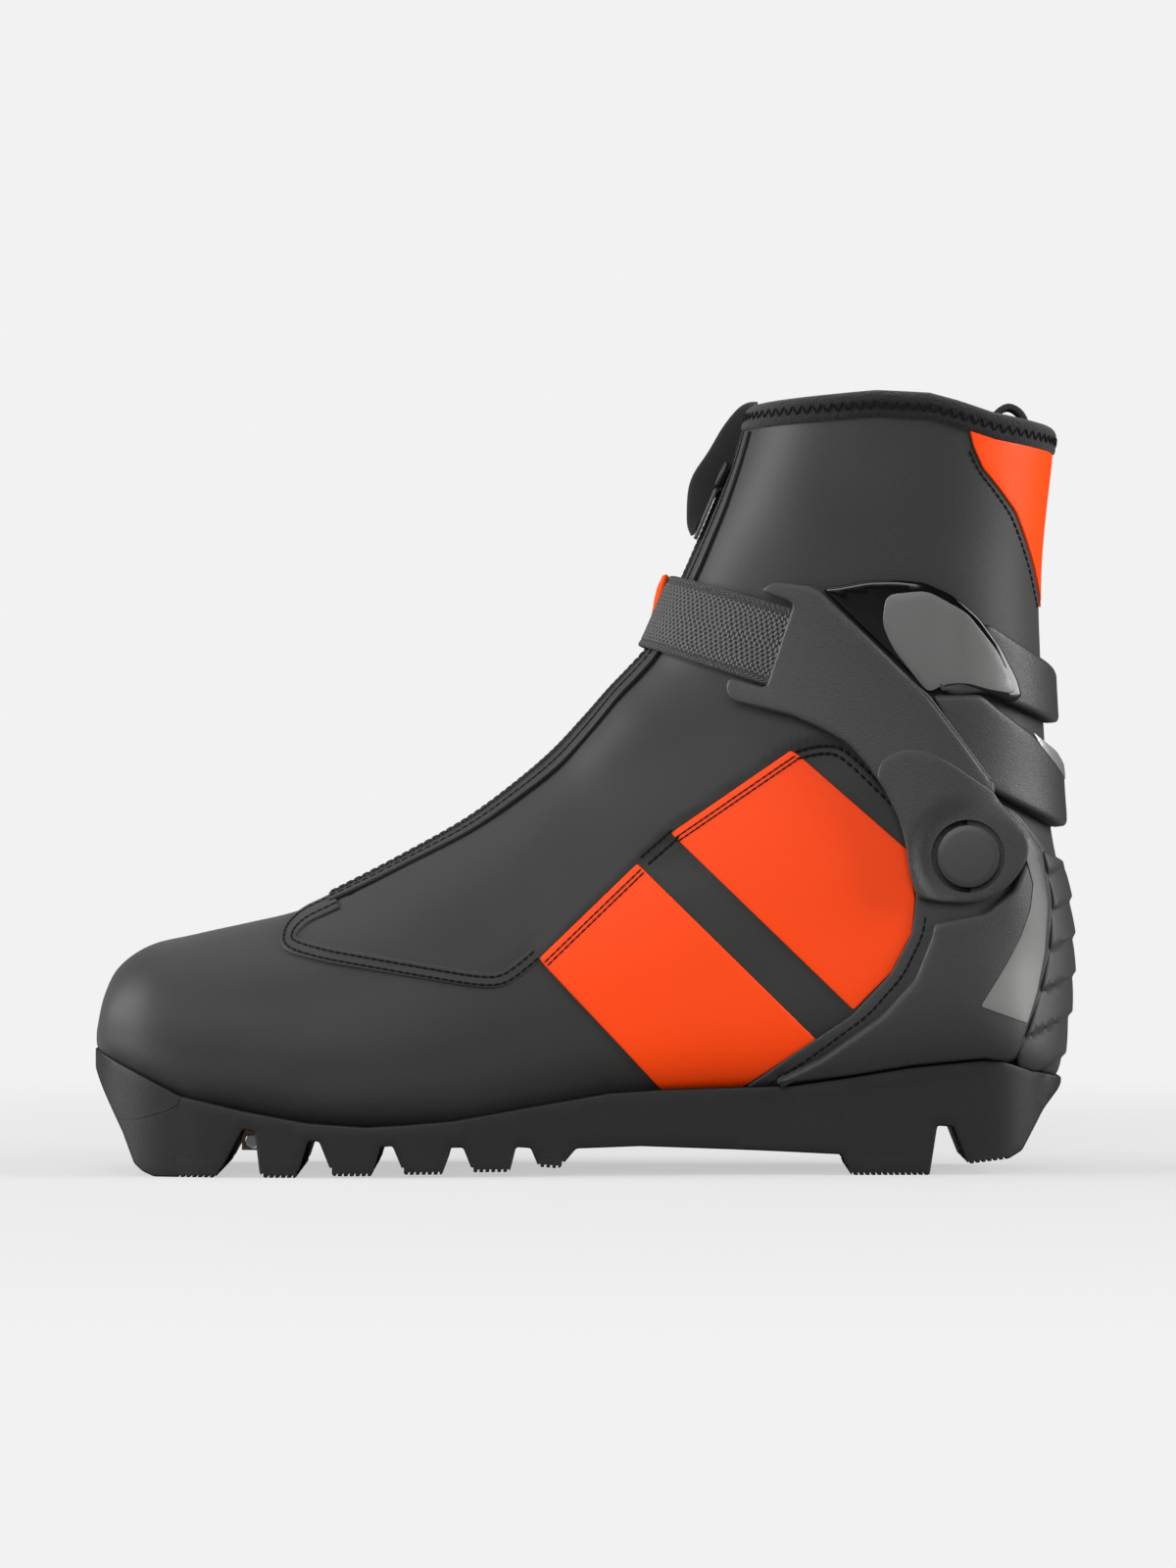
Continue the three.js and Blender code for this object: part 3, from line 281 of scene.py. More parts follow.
def outward(piece):
    """Welds doubles and turns every face outwards."""
    shape = bmesh.new()
    shape.from_mesh(piece.data)
    bmesh.ops.remove_doubles(shape, verts=shape.verts, dist=1e-6)
    bmesh.ops.dissolve_degenerate(shape, edges=shape.edges, dist=1e-7)
    bmesh.ops.recalc_face_normals(shape, faces=shape.faces)
    shape.to_mesh(piece.data)
    shape.free()
    smooth(piece)
    return piece


def select_only(piece):
    bpy.ops.object.select_all(action="DESELECT")
    piece.select_set(True)
    bpy.context.view_layer.objects.active = piece


def smooth(piece, angle=38):
    select_only(piece)
    bpy.ops.object.shade_smooth_by_angle(angle=math.radians(angle))
    piece.select_set(False)


def apply_all(piece):
    select_only(piece)
    for modifier in list(piece.modifiers):
        bpy.ops.object.modifier_apply(modifier=modifier.name)


def grid_piece(name, points, uv_size=None):
    """A rows x columns net of points, started as a plane grid and moved into place."""
    rows, columns = points.shape[:2]
    bpy.ops.object.select_all(action="DESELECT")
    bpy.ops.mesh.primitive_grid_add(x_subdivisions=columns - 1, y_subdivisions=rows - 1, size=2)
    piece = bpy.context.object
    piece.name = piece.data.name = name
    flat = np.zeros(rows * columns * 3)
    piece.data.vertices.foreach_get("co", flat)
    flat = flat.reshape(-1, 3)
    i = np.rint((flat[:, 1] + 1) / 2 * (rows - 1)).astype(int)
    j = np.rint((flat[:, 0] + 1) / 2 * (columns - 1)).astype(int)
    piece.data.vertices.foreach_set("co", (points[i, j] * MM).ravel())
    if uv_size:
        uv = np.zeros(len(piece.data.loops) * 2)
        layer = piece.data.uv_layers[0].data
        layer.foreach_get("uv", uv)
        layer.foreach_set("uv", (uv.reshape(-1, 2) * uv_size).ravel())
    piece.data.update()
    return outward(piece)


def value_at(setting, points):
    """A lift or an edge: one number, or a function of x and z."""
    return setting(points[:, 0], points[:, 2]) if callable(setting) else np.full(len(points), float(setting))


def patch(name, loop, low, high, edge=0.6, step=2.2):
    """A shell over an outline on the form (sigma, tau), between two lifts, with a rounded rim."""
    loop = np.asarray(loop, float)
    area = (loop[:, 0] * np.roll(loop[:, 1], -1) - np.roll(loop[:, 0], -1) * loop[:, 1]).sum()
    loop = loop if area > 0 else loop[::-1]
    d = np.roll(loop, -1, 0) - np.roll(loop, 1, 0)
    inward = np.stack([-d[:, 1], d[:, 0]], 1)
    inward /= np.maximum(np.linalg.norm(inward, axis=1, keepdims=True), 1e-9)
    width = value_at(edge, skin(loop[:, 0], loop[:, 1]))
    inset = loop + inward * width[:, None]
    lo, hi = inset.min(0), inset.max(0)
    a, b = np.meshgrid(np.arange(lo[0], hi[0], step), np.arange(lo[1], hi[1], step * 0.87))
    a[1::2] += step / 2
    inner = np.stack([a.ravel(), b.ravel()], 1)
    inner = inner[within(inner, inset)]
    if len(inner):
        inner = inner[distance(inner, np.vstack([inset, inset[:1]])) > step * 0.45]
    flat = np.vstack([inset, inner])
    count = len(loop)
    made, _, faces, origins, _, _ = delaunay_2d_cdt(
        [Vector(p) for p in flat], [], [list(range(count))], 1, 1e-5)
    made = np.array([(v.x, v.y) for v in made])
    place = {o: k for k, os in enumerate(origins) for o in os}
    ring = [place[k] for k in range(count)]
    surface = skin(made[:, 0], made[:, 1])
    top = skin(made[:, 0], made[:, 1], value_at(high, surface))
    bottom = skin(made[:, 0], made[:, 1], value_at(low, surface))
    points, uv = [top], [made]
    faces = [tuple(f) for f in faces]
    previous = ring
    start = len(top)
    rim_steps = 4
    for k in range(1, rim_steps + 2):
        f = min(k / rim_steps, 1) * math.pi / 2
        line = inset + (loop - inset) * math.sin(f)
        under = skin(line[:, 0], line[:, 1])
        tall = value_at(high, under) - value_at(low, under)
        lift = value_at(high, under) - np.minimum(width, tall * 0.9) * (1 - math.cos(f))
        if k == rim_steps + 1:
            lift = value_at(low, under)
        points.append(skin(line[:, 0], line[:, 1], lift))
        uv.append(line)
        ids = list(range(start, start + count))
        faces += [(previous[i], previous[(i + 1) % count], ids[(i + 1) % count], ids[i])
                  for i in range(count)]
        previous, start = ids, start + count
    swap = {r: k for r, k in zip(ring, previous)}
    below = [k for k in range(len(made)) if k not in swap]
    for n, k in enumerate(below):
        swap[k] = start + n
    points.append(bottom[below])
    uv.append(made[below])
    faces += [tuple(swap[k] for k in reversed(f)) for f in faces[:len(faces) - count * (rim_steps + 1)]]
    return mesh_piece(name, np.vstack(points), faces, np.vstack(uv) * MM)


def seen_at(places, side, lift):
    """Where on the form to start so that a surface at this lift is seen at the given places."""
    aim = np.asarray(places, float)
    track = locate(aim, side)
    for _ in range(3 if lift else 0):
        aim = aim + 0.8 * (places - skin(track[:, 0], track[:, 1], lift)[:, [0, 2]])
        track = locate(aim, side)
    return track


def side_loop(outline, side, radius=1.5, step=1.3, lift=0.0):
    """A closed side-view outline laid on one side of the form."""
    return seen_at(dense(rounded(outline, radius), step, True), side, lift)


def wrapped_loop(line, radius=1.5, step=1.3, lift=0.0):
    """An open side-view line whose two ends lie on the back of the boot, carried round both sides."""
    p = dense(rounded(line, radius, False), step)
    near, far = seen_at(p, INNER, lift), seen_at(p, OUTER, lift)[::-1]
    near[0, 1] = near[-1, 1] = GIRTH / 2
    return np.vstack([near[:-1], far[:-1]])


def refined(node, edge=0.4, angle=30, segments=2):
    """A finer copy of a CAD node: welded, flat faces joined, edges rounded."""
    source = NODES[node]
    piece = bpy.data.objects.new(node + "_fine", source.data.copy())
    piece.data.materials.clear()
    bpy.context.scene.collection.objects.link(piece)
    shape = bmesh.new()
    shape.from_mesh(piece.data)
    bmesh.ops.remove_doubles(shape, verts=shape.verts, dist=1e-6)
    bmesh.ops.dissolve_limit(shape, angle_limit=math.radians(1.5), verts=shape.verts, edges=shape.edges)
    shape.to_mesh(piece.data)
    shape.free()
    if edge:
        bevel = piece.modifiers.new("edge", "BEVEL")
        bevel.width, bevel.segments = edge * MM, segments
        bevel.limit_method, bevel.angle_limit = "ANGLE", math.radians(angle)
        bevel.harden_normals = False
        apply_all(piece)
    smooth(piece)
    return piece


def plump(piece, by):
    """Thickens a piece by moving its surface outwards."""
    normals = [v.normal.copy() for v in piece.data.vertices]
    for vertex, normal in zip(piece.data.vertices, normals):
        vertex.co += normal * by * MM
    piece.data.update()


def cut(piece, *cutters, operation="DIFFERENCE"):
    """Boolean of a piece with other pieces, which are used up."""
    for cutter in cutters:
        modifier = piece.modifiers.new("cut", "BOOLEAN")
        modifier.operation, modifier.object, modifier.solver = operation, cutter, "EXACT"
        apply_all(piece)
        bpy.data.objects.remove(cutter)
    smooth(piece)
    return piece


def box_piece(low, high):
    """A plain box between two corners."""
    low, high = np.array(low, float), np.array(high, float)
    bpy.ops.object.select_all(action="DESELECT")
    bpy.ops.mesh.primitive_cube_add(size=1, location=(low + high) / 2 * MM)
    piece = bpy.context.object
    piece.name = "box"
    piece.scale = (high - low) * MM
    bpy.ops.object.transform_apply(location=True, rotation=True, scale=True)
    return piece


def joined(name, pieces):
    """Several pieces as one mesh."""
    bpy.ops.object.select_all(action="DESELECT")
    for piece in pieces:
        piece.select_set(True)
    bpy.context.view_layer.objects.active = pieces[0]
    bpy.ops.object.join()
    pieces[0].name = pieces[0].data.name = name
    pieces[0].select_set(False)
    return pieces[0]


# ------------------------------------------------------------------ shared node groups
def node_group(name, inputs, outputs, build):
    """A shader node group with named sockets; build(nodes, link, inputs, outputs) fills it."""
    group = bpy.data.node_groups.new(name, "ShaderNodeTree")
    for label, kind, value in inputs:
        socket = group.interface.new_socket(label, in_out="INPUT", socket_type=kind)
        socket.default_value = value
    for label, kind in outputs:
        group.interface.new_socket(label, in_out="OUTPUT", socket_type=kind)
    build(group.nodes, group.links.new, group.nodes.new("NodeGroupInput").outputs,
          group.nodes.new("NodeGroupOutput").inputs)
    return group


def noise_node(nodes, link, vector, scale, detail=2.0):
    node = nodes.new("ShaderNodeTexNoise")
    node.inputs["Detail"].default_value = detail
    link(vector, node.inputs["Vector"])
    if isinstance(scale, (int, float)):
        node.inputs["Scale"].default_value = scale
    else:
        link(scale, node.inputs["Scale"])
    return node.outputs["Fac"]


def math_node(nodes, link, operation, a, b):
    node = nodes.new("ShaderNodeMath")
    node.operation = operation
    for socket, value in zip(node.inputs, (a, b)):
        if isinstance(value, (int, float)):
            socket.default_value = value
        else:
            link(value, socket)
    return node.outputs[0]


def build_grain(nodes, link, ins, outs):
    place = nodes.new("ShaderNodeTexCoord").outputs["Object"]
    fine = noise_node(nodes, link, place, ins["Scale"], 3)
    finer = noise_node(nodes, link, place, math_node(nodes, link, "MULTIPLY", ins["Scale"], 2.7), 1)
    link(math_node(nodes, link, "ADD", fine, math_node(nodes, link, "MULTIPLY", finer, 0.5)), outs["Height"])
    link(fine, outs["Tone"])


GRAIN = node_group("fine grain", [("Scale", "NodeSocketFloat", 900.0)],
                   [("Height", "NodeSocketFloat"), ("Tone", "NodeSocketFloat")], build_grain)


def build_drift(nodes, link, ins, outs):
    place = nodes.new("ShaderNodeTexCoord").outputs["Object"]
    cloud = noise_node(nodes, link, place, ins["Scale"], 4)
    centred = math_node(nodes, link, "SUBTRACT", cloud, 0.5)
    grain = math_node(nodes, link, "SUBTRACT", ins["Tone"], 0.5)
    amount = math_node(nodes, link, "ADD", math_node(nodes, link, "MULTIPLY", centred, ins["Drift"]),
                       math_node(nodes, link, "MULTIPLY", grain, ins["Speckle"]))
    gain = math_node(nodes, link, "ADD", amount, 1.0)
    mix = nodes.new("ShaderNodeVectorMath")
    mix.operation = "SCALE"
    link(ins["Colour"], mix.inputs[0])
    link(gain, mix.inputs["Scale"])
    link(mix.outputs[0], outs["Colour"])
    rough = math_node(nodes, link, "ADD", ins["Roughness"],
                      math_node(nodes, link, "MULTIPLY", amount, 0.25))
    link(rough, outs["Roughness"])


DRIFT = node_group("colour drift", [
    ("Colour", "NodeSocketColor", (0.05, 0.05, 0.05, 1)), ("Tone", "NodeSocketFloat", 0.5),
    ("Drift", "NodeSocketFloat", 0.3), ("Speckle", "NodeSocketFloat", 0.2),
    ("Scale", "NodeSocketFloat", 25.0), ("Roughness", "NodeSocketFloat", 0.6)],
    [("Colour", "NodeSocketColor"), ("Roughness", "NodeSocketFloat")], build_drift)


def build_rub(nodes, link, ins, outs):
    pointed = nodes.new("ShaderNodeNewGeometry").outputs["Pointiness"]
    band = nodes.new("ShaderNodeMapRange")
    band.inputs["From Min"].default_value, band.inputs["From Max"].default_value = 0.52, 0.62
    link(pointed, band.inputs["Value"])
    place = nodes.new("ShaderNodeTexCoord").outputs["Object"]
    broken = noise_node(nodes, link, place, 220.0, 3)
    mask = math_node(nodes, link, "MULTIPLY", math_node(nodes, link, "MULTIPLY", band.outputs[0], broken),
                     ins["Amount"])
    mix = nodes.new("ShaderNodeMix")
    mix.data_type = "RGBA"
    link(mask, mix.inputs["Factor"])
    link(ins["Colour"], mix.inputs[6])
    link(ins["Rubbed"], mix.inputs[7])
    link(mix.outputs[2], outs["Colour"])


RUB = node_group("edge rub", [
    ("Colour", "NodeSocketColor", (0.05, 0.05, 0.05, 1)), ("Rubbed", "NodeSocketColor", (0.2, 0.2, 0.2, 1)),
    ("Amount", "NodeSocketFloat", 0.5)], [("Colour", "NodeSocketColor")], build_rub)


def build_weave(nodes, link, ins, outs):
    """Basket weave over the piece's own UV map, whose unit is a metre."""
    uv = nodes.new("ShaderNodeTexCoord").outputs["UV"]
    split = nodes.new("ShaderNodeSeparateXYZ")
    link(uv, split.inputs[0])
    cells = [math_node(nodes, link, "DIVIDE", split.outputs[k], ins["Pitch"]) for k in (0, 1)]
    waves = []
    for k in (0, 1):
        other = math_node(nodes, link, "FLOOR", cells[1 - k], 0)
        phase = math_node(nodes, link, "ADD", math_node(nodes, link, "MULTIPLY", cells[k], math.pi),
                          math_node(nodes, link, "MULTIPLY", other, math.pi))
        phase = math_node(nodes, link, "ADD", phase, k * math.pi / 2)
        waves.append(math_node(nodes, link, "SINE", phase, 0))
        inside = math_node(nodes, link, "FRACT", cells[1 - k], 0)
        bow = math_node(nodes, link, "SINE", math_node(nodes, link, "MULTIPLY", inside, math.pi), 0)
        waves[k] = math_node(nodes, link, "MULTIPLY", waves[k], bow)
    over = math_node(nodes, link, "MAXIMUM", waves[0], waves[1])
    link(over, outs["Height"])
    place = nodes.new("ShaderNodeTexCoord").outputs["Object"]
    yarn = noise_node(nodes, link, place, 1900.0, 1)
    link(math_node(nodes, link, "MULTIPLY", over, yarn), outs["Tone"])


WEAVE = node_group("basket weave", [("Pitch", "NodeSocketFloat", 0.0011)],
                   [("Height", "NodeSocketFloat"), ("Tone", "NodeSocketFloat")], build_weave)


# ------------------------------------------------------------------ finishes
def finish(name, colour, rough, grain=900.0, depth=0.03, drift=0.25, speckle=0.2, cloud=25.0,
           rub=0.0, metallic=0.0, specular=0.5, coat=0.0, sheen=0.0, weave=0.0):
    """A finish: drifting colour, fine grain in the surface, and rubbed edges where it wears."""
    material = bpy.data.materials.new(name)
    material.use_nodes = True
    nodes, link = material.node_tree.nodes, material.node_tree.links.new
    shader = nodes["Principled BSDF"]
    for socket, value in (("Metallic", metallic), ("Specular IOR Level", specular),
                          ("Coat Weight", coat), ("Sheen Weight", sheen)):
        shader.inputs[socket].default_value = value
    if coat:
        shader.inputs["Coat Roughness"].default_value = 0.08
    surface = nodes.new("ShaderNodeGroup")
    surface.node_tree = WEAVE if weave else GRAIN
    surface.inputs[0].default_value = weave or grain
    tint = nodes.new("ShaderNodeGroup")
    tint.node_tree = DRIFT
    tint.inputs["Colour"].default_value = (*colour, 1)
    tint.inputs["Drift"].default_value = drift
    tint.inputs["Speckle"].default_value = speckle
    tint.inputs["Scale"].default_value = cloud
    tint.inputs["Roughness"].default_value = rough
    link(surface.outputs["Tone"], tint.inputs["Tone"])
    out = tint.outputs["Colour"]
    if rub:
        worn = nodes.new("ShaderNodeGroup")
        worn.node_tree = RUB
        worn.inputs["Amount"].default_value = rub
        worn.inputs["Rubbed"].default_value = (*[min(1, c * 1.6 + 0.05) for c in colour], 1)
        link(out, worn.inputs["Colour"])
        out = worn.outputs["Colour"]
    link(out, shader.inputs["Base Color"])
    link(tint.outputs["Roughness"], shader.inputs["Roughness"])
    relief = nodes.new("ShaderNodeBump")
    relief.inputs["Distance"].default_value = depth * MM
    link(surface.outputs["Height"], relief.inputs["Height"])
    link(relief.outputs["Normal"], shader.inputs["Normal"])
    return material


def fading(name, top, bottom, high, low, rough):
    """A printed finish whose colour fades from one height to another."""
    material = finish(name, top, rough, grain=1500.0, depth=0.01, drift=0.1, speckle=0.05)
    nodes, link = material.node_tree.nodes, material.node_tree.links.new
    split = nodes.new("ShaderNodeSeparateXYZ")
    link(nodes.new("ShaderNodeTexCoord").outputs["Object"], split.inputs[0])
    ramp = nodes.new("ShaderNodeMapRange")
    ramp.inputs["From Min"].default_value, ramp.inputs["From Max"].default_value = low * MM, high * MM
    link(split.outputs["Z"], ramp.inputs["Value"])
    mix = nodes.new("ShaderNodeMix")
    mix.data_type = "RGBA"
    mix.inputs[6].default_value, mix.inputs[7].default_value = (*bottom, 1), (*top, 1)
    link(ramp.outputs[0], mix.inputs["Factor"])
    link(mix.outputs[2], nodes["Principled BSDF"].inputs["Base Color"])
    return material


FINISH = {
    "softshell": finish("softshell", (0.0135, 0.014, 0.013), 0.58, 1300, 0.05, 0.16, 0.16, 18, specular=0.42,
                        sheen=0.1),
    "seam_thread": finish("seam_thread", (0.0025, 0.0025, 0.0025), 0.8, 2500, 0.03, specular=0.2),
    "lining": finish("lining", (0.014, 0.014, 0.014), 0.95, 1100, 0.22, 0.3, 0.5, sheen=0.3),
    "board": finish("board", (0.42, 0.36, 0.27), 0.9, 500, 0.1, 0.3, 0.3),
    "insole": finish("insole", (0.06, 0.06, 0.062), 0.95, 800, 0.2, 0.3, 0.5, sheen=0.2),
    "orange_panel": finish("orange_panel", (1.0, 0.062, 0.0), 0.5, 1600, 0.03, 0.06, 0.05, 30, specular=0.2),
    "counter_plastic": finish("counter_plastic", (0.026, 0.026, 0.026), 0.5, 1500, 0.08, 0.15, 0.3, 20, rub=0.3,
                              specular=0.45),
    "cuff_plastic": finish("cuff_plastic", (0.024, 0.024, 0.024), 0.5, 1500, 0.09, 0.12, 0.6, 20, rub=0.3),
    "cap_plastic": finish("cap_plastic", (0.028, 0.028, 0.028), 0.42, 2300, 0.03, 0.15, 0.2, rub=0.25),
    "gloss_window": finish("gloss_window", (0.002, 0.002, 0.002), 0.12, 120, 0.004, 0.2, 0.05, 12, specular=0.3,
                           coat=0.2),
    # painted reflection: this light satin grey stands in for the softbox mirrored in the window's black gloss
    "window_painted_reflection": finish("window_painted_reflection", (0.115, 0.115, 0.113), 0.34, 2300, 0.02, 0.15, 0.15, 12),
    "sole": finish("sole", (0.0095, 0.0098, 0.0095), 0.55, 1500, 0.05, 0.2, 0.25, 20, rub=0.3, specular=0.35),
    "tread_rubber": finish("tread_rubber", (0.0092, 0.0095, 0.0092), 0.57, 1500, 0.05, 0.2, 0.25, 20, rub=0.3,
                           specular=0.35),
    "wrap_rubber": finish("wrap_rubber", (0.026, 0.026, 0.026), 0.55, 1500, 0.05, 0.2, 0.2, rub=0.3, specular=0.45),
    "shank": finish("shank", (0.05, 0.05, 0.045), 0.5, 500, 0.05),
    "steel": finish("steel", (0.52, 0.52, 0.53), 0.3, 700, 0.01, 0.2, 0.2, metallic=1.0),
    "carrier": finish("carrier", (0.32, 0.2, 0.11), 0.4, 900, 0.02, 0.4, 0.2, metallic=0.9, rub=0.5),
    "stripe": fading("stripe", (0.028, 0.028, 0.028), (0.150, 0.155, 0.145), 96, 62, 0.45),
    "zip_tape": finish("zip_tape", (0.015, 0.015, 0.0145), 0.85, depth=0.12, weave=0.0008),
    "lace": finish("lace", (0.03, 0.03, 0.03), 0.8, 1500, 0.15, 0.3, 0.5),
    "reflector": finish("reflector", (0.42, 0.43, 0.42), 0.3, 1400, 0.03, 0.15, 0.25, metallic=0.7),
    "binding": finish("binding", (0.0055, 0.0055, 0.0058), 0.9, 850, 0.5, 0.3, 1.0, specular=0.35, sheen=0.15),
    "pull_loop": finish("pull_loop", (0.010, 0.010, 0.011), 0.85, 1400, 0.15, 0.3, 0.6),
    "webbing": finish("webbing", (0.135, 0.137, 0.137), 0.8, depth=0.4, drift=0.2, speckle=1.5, weave=0.00105),
    "zip_metal": finish("zip_metal", (0.02, 0.02, 0.021), 0.35, 900, 0.02, metallic=0.8, rub=0.6),
    "zip_pull": finish("zip_pull", (0.05, 0.05, 0.05), 0.6, 900, 0.05),
    "zip_flap": finish("zip_flap", (0.002, 0.002, 0.002), 0.9, 1600, 0.12, 0.2, 0.4, specular=0.3, sheen=0.1),
    "orange_tip": finish("orange_tip", (1.0, 0.07, 0.002), 0.5, 1300, 0.05, 0.08, 0.08, specular=0.25),
}

# ------------------------------------------------------------------ how a piece moves and what it shows
PIVOT = (115.2, 97.2)


def dressed(piece, slot, *nodes, look=None, body=None, bends=False):
    """Gives a piece its finish, from its slot unless a look is given; hides the nodes it stands for;
    hangs it on the body it moves with, or bakes it in place if it bends.
    """
    piece.data.materials.clear()
    piece.data.materials.append(FINISH[look or slot])
    if nodes:
        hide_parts(*nodes)
    if bends:
        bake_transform(piece)
    else:
        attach(piece, body)
    return piece


def make_stitch():
    """One stitch, 1 mm long and 1 mm thick, lying along X: its points and faces."""
    bpy.ops.object.select_all(action="DESELECT")
    bpy.ops.mesh.primitive_uv_sphere_add(segments=6, ring_count=5, radius=0.5, rotation=(0, math.pi / 2, 0))
    seed = bpy.context.object
    bpy.ops.object.transform_apply(location=True, rotation=True, scale=True)
    points = np.array([v.co for v in seed.data.vertices])
    faces = [tuple(p.vertices) for p in seed.data.polygons]
    bpy.data.objects.remove(seed)
    return points, faces


STITCH = make_stitch()


def stitches(name, lines, long=2.5, gap=0.8, thick=0.75, lift=0.15, zigzag=0.0):
    """Rows of stitches along lines (sigma, tau) on the form; lift may follow x and z."""
    shape, faces = STITCH
    points, made = [], []
    for line in lines:
        surface = skin(line[:, 0], line[:, 1])
        run = even(np.hstack([surface, line]), long + gap)
        track = run[:, 3:]
        height = value_at(lift, run)
        place = skin(track[:, 0], track[:, 1], height)
        normal = skin(track[:, 0], track[:, 1], height + 1) - place
        for k in range(len(place) - 1):
            along = place[k + 1] - place[k]
            length = np.linalg.norm(along)
            if not length:
                continue
            along /= length
            up = normal[k]
            across = np.cross(up, along)
            across /= np.linalg.norm(across)
            if zigzag:
                along = along + across * zigzag * (1 if k % 2 else -1)
                along /= np.linalg.norm(along)
                across = np.cross(up, along)
            size = np.array([long, thick, thick])
            middle = (place[k] + place[k + 1]) / 2
            base = len(points) * len(shape)
            points.append(middle + (shape * size) @ np.array([along, across, up]))
            made += [tuple(base + i for i in f) for f in faces]
    return mesh_piece(name, np.vstack(points), made)


def side_line(points, side, radius=3.0, step=1.0):
    """An open side-view line laid on one side of the form."""
    return locate(dense(rounded(points, radius, False), step), side)


def both_sides(points, radius=3.0):
    return [side_line(points, side, radius) for side in (INNER, OUTER)]


# ------------------------------------------------------------------ softshell upper
VAMP_SEAM = [(-78.0, 85.2), (-88.2, 80.4), (-92.4, 76.5), (-93.6, 73.5), (-93.6, 69.6), (-89.7, 67.2),
             (-79.8, 64.8), (-65.1, 62.4), (-50.7, 60.0), (-36.0, 57.6), (-29.1, 57.0), (-24.3, 57.9),
             (-19.2, 61.5), (-14.1, 65.8)]
QUARTER_SEAM = [(15.6, 95.4), (25.2, 104.4), (61.8, 129.6), (69.3, 131.9), (76.5, 131.9), (81.9, 127.8),
                (95.0, 115.0)]
SEAM = rounded(VAMP_SEAM + QUARTER_SEAM, 3.0, False)
ABOVE_SEAM = np.vstack([SEAM, [(200.0, 115.0), (200.0, 400.0), (-79.2, 400.0)]])
WELT_WIDTH, WELT_TOP = 4.6, 0.75          # the toe part's turned edge, sewn down over the upper
COLLAR = [(40.0, 236.0), (51.0, 236.4), (87.3, 238.8), (103.8, 237.9), (113.1, 235.5), (123.9, 232.2),
          (143.7, 228.9), (160.0, 226.4)]
BINDING_HEIGHT = 8.4
LINING_FACE, LINING_BACK = -5.5, -2.3


def collar_gap(drop):
    """Height above a line that runs the given distance below the collar's edge."""
    xs, zs = np.array(COLLAR).T
    return lambda x, z: z - (np.interp(x, xs, zs) - drop)


def seam_relief(x, z):
    """The upper part laps over the toe part: a turned edge, puffed behind its stitches."""
    places = np.stack([x.ravel(), z.ravel()], 1)
    near = distance(places, SEAM)
    sign = np.where(within(places, ABOVE_SEAM), 1, -1)
    d = (near * sign).reshape(x.shape)
    lap = 0.5 * step_up(d, -0.7, 0.9) + 0.3 * bump(d - 2.3, 1.1) - 0.35 * bump(d + 0.9, 0.8) \
        - 0.5 * step_up(d, 5, 26)
    return lap * step_up(x, -18, -6) - 0.3 * bump(d - WELT_WIDTH - 0.8, 0.9) * step_up(-x, 6, 18)


def creases(points):
    """Soft folds of the upper round the ankle and over the toes, under half a millimetre."""
    out = np.zeros(len(points))
    for k, (x, y, z) in enumerate(points):
        soft = math.exp(-((x - 22) / 48) ** 2 - ((z - 128) / 34) ** 2)
        toe = 0.35 * math.exp(-((x + 88) / 24) ** 2)
        n = noise.noise((x * 0.020 + z * 0.035, y * 0.03, (z - x * 0.4) * 0.055))
        out[k] = n * (1.15 * soft + toe) + 0.16 * noise.noise((x * 0.05, y * 0.05 + 7, z * 0.05))
    return out


def upper_skin(rows, columns, top, from_sigma=0.0):
    """Net of points over the form from the toe to a line below the collar."""
    tau = np.linspace(0, GIRTH, columns + 1)
    last = sigma_where(collar_gap(top), tau, 0.8)
    v = np.linspace(0, 1, rows)
    sigma = from_sigma + (last[None] - from_sigma) * v[:, None]
    return sigma, np.broadcast_to(tau, sigma.shape)


SOLE_COVER, SOLE_COVER_SLOPE = 22, 0.02    # below this slanted line the sole covers the upper, so nothing is raised


def build_softshell():
    """The whole soft upper as one skin, spanning both bodies."""
    sigma, tau = upper_skin(250, 170, BINDING_HEIGHT - 0.6)
    base = skin(sigma, tau)
    lift = seam_relief(base[..., 0], base[..., 2]) + creases(base.reshape(-1, 3)).reshape(sigma.shape)
    lift *= step_up(sigma, 0, 12)
    behind_sole = base[..., 2] < SOLE_COVER + SOLE_COVER_SLOPE * base[..., 0]
    lift = np.where(behind_sole, np.minimum(lift, 0), lift)
    outer = skin(sigma, tau, lift)
    inner_sigma = sigma[::-8]
    inner = skin(np.maximum(inner_sigma, 8), tau[::-8], np.full(inner_sigma.shape, -1.8))
    toe = np.broadcast_to(outer[0].mean(0), outer[:1].shape)
    close = np.broadcast_to(inner[-1].mean(0), inner[:1].shape)
    return grid_piece("softshell_upper", np.vstack([toe, outer, inner, close]))


upper = build_softshell()
dressed(upper, "softshell", "vamp_shell", "shaft_sleeve", "instep_gusset", "heel_gusset", bends=True)


def build_lining():
    """Padded sock lining: soft inside face with shallow quilted rolls near the collar."""
    sigma, tau = upper_skin(90, 120, 1.6, 14.0)
    face = skin(sigma, tau)
    rolls = 0.5 * np.sin(face[..., 2] / 9.0) * step_up(face[..., 2], 150, 175)
    back = skin(sigma, tau, np.full(sigma.shape, LINING_BACK))
    front = skin(sigma, tau, LINING_FACE - rolls)
    toe = np.broadcast_to(back[0].mean(0), back[:1].shape)
    tip = np.broadcast_to(front[0].mean(0), front[:1].shape)
    return grid_piece("sock_lining", np.vstack([toe, back, front[::-1], tip]))


lining = build_lining()
dressed(lining, "lining", "foot_lining", "shaft_lining", bends=True)


